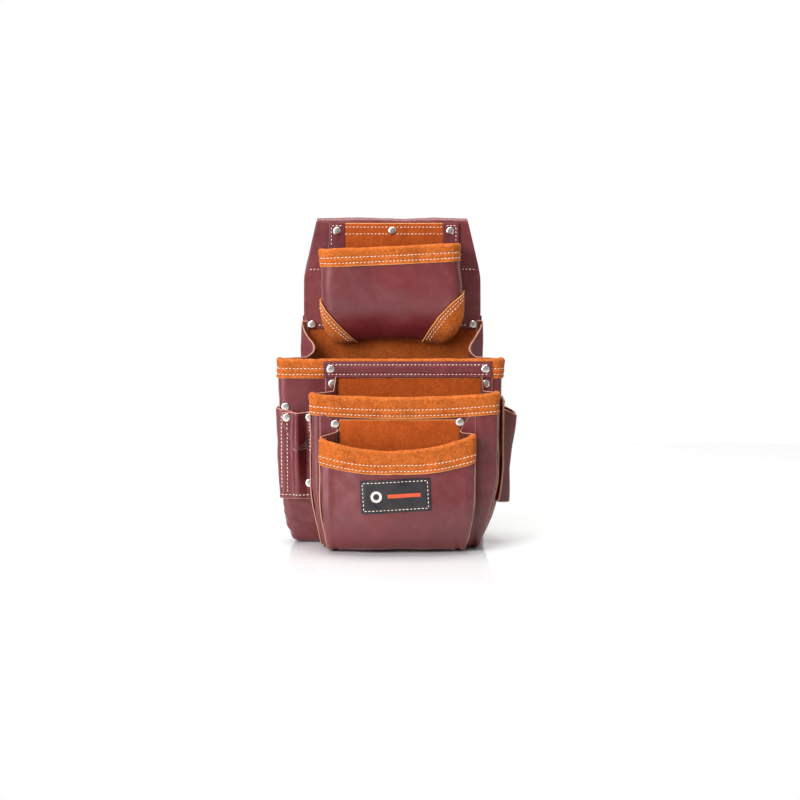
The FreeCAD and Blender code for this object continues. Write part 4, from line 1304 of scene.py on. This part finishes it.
def sew_upright(surface, x, z_low, z_high):
    level = np.linspace(z_low, z_high, 120)
    sew_on("left_sleeve", surface, np.array([place_at(surface, x, z) for z in level]), level)


def make_left_sleeve():
    lift = HIDE + SLEEVE_GAP
    x0, x1 = LEFT_TUBE
    end = -88.8

    def plan(z):
        left = main_sides(z)[0] - lift
        y = main_y(z) - lift
        rise = np.interp(z, (55.0, 100.0), (2.0, 9.5))
        return [(left, y + MAIN_RETURN), (left, y), (x0, y), (x0 + TUBE_SLANT, y - rise),
                (x0 + TUBE_RIDGE, y - rise), (x1, y), (end, y)]

    surface = gusset_surface(plan, (9.0, 4.0, 4.0, 4.0, 4.0), 50.0, 168.0, 101)

    def x_at(a, z):
        return surface.at(a, np.full(a.shape, float(z)))[:, 0]

    cut_left, cut_right = place_at(surface, x0 - 0.6, 130.0), place_at(surface, x1 + 0.6, 130.0)
    mouth = 111.0
    soft = 0.004                         # share of its length over which the cut slopes

    def top(a):
        x = x_at(a, 150.0)
        slope = np.interp(x, (-131.0, x0, end), (157.0, 153.5, 153.0))
        dip = smooth(a, cut_left - soft, cut_left + soft)
        dip = dip * (1.0 - smooth(a, cut_right - soft, cut_right + soft))
        return slope + (mouth - slope) * dip

    spread = grid(0.0, 1.0, 54.5, top, 0.8, 1.8, 85.0, 108.0)
    cover_hide("left_sleeve_panel", surface, spread, GUSSET_SET)

    for seam in SLEEVE_SEAMS:
        sew_upright(surface, *seam)
    across = np.linspace(0.02, 0.985, 300)
    sew_on("left_sleeve", surface, across, 58.5)
    rear = np.full(120, 0.05)
    sew_on("left_sleeve", surface, rear, np.linspace(62.0, 160.0, 120))
    make_tool_loop()


def make_tool_loop():
    """Strap bowed out above the sleeve's mouth, with a pointed lower edge."""
    y = MAIN_Y - HIDE - 0.6
    x0, x1 = LEFT_TUBE
    left, right = LOOP_ENDS
    out = y - HIDE - SLEEVE_GAP

    def plan(_):
        return [(left, out), (x0, out), (x0 + TUBE_SLANT, out - LOOP_RISE),
                (x0 + TUBE_RIDGE, out - LOOP_RISE), (x1, out), (right, out)]

    surface = gusset_surface(plan, (4.0, 4.0, 4.0, 4.0), 108.0, 156.0, 111)

    def foot(a):
        x = surface.at(a, np.full(a.shape, 150.0))[:, 0]
        return np.interp(x, (left, -108.2, -99.0, right), (141.0, 110.0, 120.0, 141.0))

    spread = grid(0.0, 1.0, foot, LOOP_TOP, 0.9, 1.2, 52.0, 40.0)
    cover_hide("left_tool_loop", surface, spread, GUSSET_SET)
    for seam in LOOP_SEAMS:
        sew_upright(surface, *seam)


def make_right_sleeve():
    face = MAIN_X + MAIN_HALF
    y0, y1 = RIGHT_Y

    def back_plan(z):
        x = main_sides(z)[1] + HIDE + SLEEVE_GAP
        return [(x, y0), (x, y1)]

    heights = np.linspace(RIGHT_FOOT, RIGHT_BACK_TOP + 0.5, 100)
    table = np.zeros((100, 60, 3))
    for row, z in enumerate(heights):
        (x, _), _ = back_plan(float(z))
        table[row, :, 0] = x
        table[row, :, 1] = np.linspace(y0, y1, 60)
        table[row, :, 2] = z
    back = Surface(table, np.linspace(0.0, 1.0, 60), heights)
    spread = grid(0.0, 1.0, RIGHT_FOOT + 0.5, RIGHT_BACK_TOP, 1.5, 2.0, y1 - y0, 118.0)
    # the right sleeve's pieces wear the darker leather copy, which paints the shade of that side
    cover_hide("right_sleeve_back", back, spread, SHADED_SLEEVE_SET)

    def plan(z):
        x = main_sides(z)[1] + HIDE + SLEEVE_GAP
        out = face + HIDE + SLEEVE_GAP + np.interp(z, (RIGHT_FOOT, 88.0, 152.0), (6.5, 7.0, 15.2))
        return [(x, y0), (out, y0), (out, y1), (x, y1)]

    surface = gusset_surface(plan, (6.0, 6.0), RIGHT_FOOT, 162.0, 121)

    def top(a):
        x = surface.at(a, np.full(a.shape, 150.0))[:, 0]
        return np.interp(x, (face, face + 20.0), (157.0, 147.0))

    spread = grid(0.0, 1.0, RIGHT_FOOT + 0.5, top, 1.3, 1.8, 66.0, 105.0)
    cover_hide("right_sleeve_front", surface, spread, SHADED_SLEEVE_SET)
    sew_on("right_sleeve", surface, 0.94, np.linspace(52.0, 146.0, 120))


# ---- rivets ----------------------------------------------------------------------------------
FORWARD = np.array([0.0, -1.0, 0.0])
UPPER_RIVETS = ((-64.0, 355.0), (0.0, 355.0), (67.0, 355.0))       # x and z, here and below
BACKING_RIVETS = ((-93.6, 246.5), (93.6, 246.5))
BAND_RIVETS = ((-69.5, 202.5), (105.5, 202.5))
MIDDLE_RIVETS = ((-67.5, 186.0), (106.0, 186.0))
FRONT_RIVETS = ((-63.5, 145.0), (75.6, 147.0))
LEFT_UPPER_RIVET = (-121.0, 159.0)
LOOP_RIVETS = ((-119.5, 147.5), (-93.6, 147.5))
LEFT_LOWER_RIVET = (-94.2, 72.0)
RIGHT_RIVET = (-62.0, 162.0)                                       # y and z


def facing(y, grip, *places):
    """Rivets that face the front, with their leather's face at y."""
    return [((x, y, z), FORWARD, grip) for x, z in places]


def make_rivets():
    def group(name, places):
        piece = rivets(name, [(np.array(spot), np.array(up), grip) for spot, up, grip in places], NICKEL)
        adopt(piece, "rivet_metal", name)

    left, middle, right = UPPER_RIVETS
    ear_y = FACE_Y - HIDE - 0.5
    ear_grip = 2 * HIDE + 0.4
    group("rivets_upper_pocket", facing(ear_y, ear_grip, left)
          + facing(FACE_Y - SUEDE - 0.3, HIDE + SUEDE + 0.2, middle) + facing(ear_y, ear_grip, right))
    group("rivets_main_pocket", facing(FACE_Y - HIDE - 1.0, 3 * HIDE + 1.0, *BACKING_RIVETS))
    group("rivets_rim_band", facing(BAND[0][1] - 0.7, 2 * (HIDE + SUEDE), *BAND_RIVETS))
    group("rivets_middle_pocket", facing(MAIN_Y - HIDE - 0.4, 2 * HIDE, *MIDDLE_RIVETS))
    group("rivets_front_pocket", facing(MIDDLE_Y - HIDE - 0.6, 2 * HIDE, *FRONT_RIVETS))
    face = MAIN_Y - 2 * HIDE - 0.6
    group("rivets_left_sleeve", facing(MAIN_Y - 0.3, HIDE, LEFT_UPPER_RIVET)
          + facing(face - 0.5, 3 * HIDE, *LOOP_RIVETS) + facing(face + HIDE, 2 * HIDE, LEFT_LOWER_RIVET))
    side = MAIN_X + MAIN_HALF + HIDE
    group("rivets_right_sleeve", [((side + 0.5, *RIGHT_RIVET), (1.0, 0.0, 0.0), 2 * HIDE)])


# ---- set -------------------------------------------------------------------------------------
FLOOR_HALF = 0.75
DIM = 0.22                           # light from all round
BACKDROP = 1.0                       # light from the white wall behind the pouch
FLOOR_DROP = 0.0006                  # the floor lies this far below the pouch's foot
LIGHTS_AIM = (0.0, 0.0, 0.18)
CAMERA_DISTANCE = 2200.0
CAMERA_RAISED = math.radians(7.5)
CAMERA_AIM = (9.0, -60.0, 165.3)
SHOWN_WIDTH = 912.0                  # of the view, at the distance of the aim
SENSOR_WIDTH = 36.0


def make_floor():
    mesh = bpy.data.meshes.new("floor")
    corners = [(x * FLOOR_HALF, y * FLOOR_HALF, 0) for x, y in ((-1, -1), (1, -1), (1, 1), (-1, 1))]
    mesh.from_pydata(corners, [], [(0, 1, 2, 3)])
    floor = bpy.data.objects.new("floor", mesh)
    floor.location.z = -FLOOR_DROP
    bpy.context.scene.collection.objects.link(floor)
    n = Nodes("floor_white")
    n.use(Base_Color=(0.84, 0.85, 0.84, 1.0), Roughness=0.09, Specular_IOR_Level=0.6)
    mesh.materials.append(n.material)


def make_studio():
    """A white room: what the camera sees of it is white, and most of its light comes from behind."""
    studio = bpy.data.worlds.new("studio")
    studio.use_nodes = True
    tree = studio.node_tree
    way = tree.nodes.new("ShaderNodeTexCoord")
    parts = tree.nodes.new("ShaderNodeSeparateXYZ")
    tree.links.new(way.outputs["Generated"], parts.inputs[0])
    behind = tree.nodes.new("ShaderNodeMapRange")
    tree.links.new(parts.outputs["Y"], behind.inputs["Value"])
    for socket, number in (("From Min", 0.15), ("From Max", 0.75), ("To Min", DIM), ("To Max", BACKDROP)):
        behind.inputs[socket].default_value = number
    seen = tree.nodes.new("ShaderNodeLightPath")
    strength = tree.nodes.new("ShaderNodeMath")
    strength.operation = "MAXIMUM"
    tree.links.new(behind.outputs[0], strength.inputs[0])
    tree.links.new(seen.outputs["Is Camera Ray"], strength.inputs[1])
    ground = tree.nodes["Background"]
    ground.inputs["Color"].default_value = (1.0, 1.0, 1.0, 1.0)
    tree.links.new(strength.outputs[0], ground.inputs["Strength"])
    bpy.context.scene.world = studio


def make_light(name, place, size, power, tint=(1.0, 1.0, 1.0)):
    data = bpy.data.lights.new(name, "AREA")
    data.shape = "RECTANGLE"
    data.size, data.size_y = size
    data.energy = power
    data.color = tint
    lamp = bpy.data.objects.new(name, data)
    lamp.location = place
    way = Vector(LIGHTS_AIM) - Vector(place)
    lamp.rotation_euler = way.to_track_quat("-Z", "Y").to_euler()
    bpy.context.scene.collection.objects.link(lamp)


def make_camera():
    """Straight on to the front, from a little above the pouch's middle."""
    away = np.array([0.0, -math.cos(CAMERA_RAISED), math.sin(CAMERA_RAISED)]) * CAMERA_DISTANCE * MM
    data = bpy.data.cameras.new("camera")
    data.sensor_width = SENSOR_WIDTH
    data.lens = SENSOR_WIDTH * CAMERA_DISTANCE / SHOWN_WIDTH
    data.clip_end = 50.0
    camera = bpy.data.objects.new("camera", data)
    camera.location = world(CAMERA_AIM) + away
    camera.rotation_euler = (math.pi / 2 - CAMERA_RAISED, 0.0, 0.0)
    bpy.context.scene.collection.objects.link(camera)
    bpy.context.scene.camera = camera


# ---- build -----------------------------------------------------------------------------------
make_camera()
make_floor()
make_studio()
make_light("key", (-1.25, -1.6, 1.35), (1.1, 1.1), 38.0, (0.95, 0.95, 1.0))
make_light("left", (-1.3, -1.2, 0.45), (0.8, 1.1), 17.0, (0.92, 0.91, 1.0))
make_light("fill", (1.4, -1.2, 0.7), (0.8, 0.8), 2.0, (1.0, 0.92, 0.85))
make_light("top", (0.0, -0.1, 1.9), (1.2, 1.0), 34.0)
make_upper_back_panel()
make_lower_back_panel()
make_main_backing()
make_main_pocket()
make_rim_band()
make_small_pocket(
    "middle_pocket", middle_plan, middle_swell, roundings=(12.0, 12.0), rim=MIDDLE_RIM,
    top=182.0, sole=24.0, rear=((-74.0, -58.5), (98.0, -58.5)),
    flanges=((-75.0, -59.5), (113.0, 99.0)), tops=((193.5, 193.5, 177.5), (193.5, 193.5, 178.0)),
    back_y=lambda z: main_y(z) - 0.5, back_top=194.0, drop=constant(20.5), seed=130, arch=2.0)
front_surface = make_small_pocket(
    "front_pocket", front_plan, front_swell, roundings=(9.0, 70.0, 70.0, 9.0), rim=FRONT_RIM,
    top=141.0, sole=17.0, rear=((-62.0, -92.5), (76.0, -92.5)),
    flanges=((-80.0, -55.0), (93.0, 72.0)), tops=((156.5, 137.0, 136.0), (155.5, 136.5, 135.5)),
    back_y=lambda z: middle_y(z) - 0.8, back_top=149.5,
    drop=lambda a: np.interp(a, (0.0, 0.5, 1.0), (26.5, 22.0, 29.0)), seed=160, arch=3.0)
make_label(front_surface)
make_upper_pocket()
make_left_sleeve()
make_right_sleeve()
make_rivets()
make_seams(THREAD)
for title, piece in PIECES.items():
    if title.startswith("stitches_"):
        adopt(piece, "suede")

bpy.context.scene.view_settings.view_transform = "Standard"
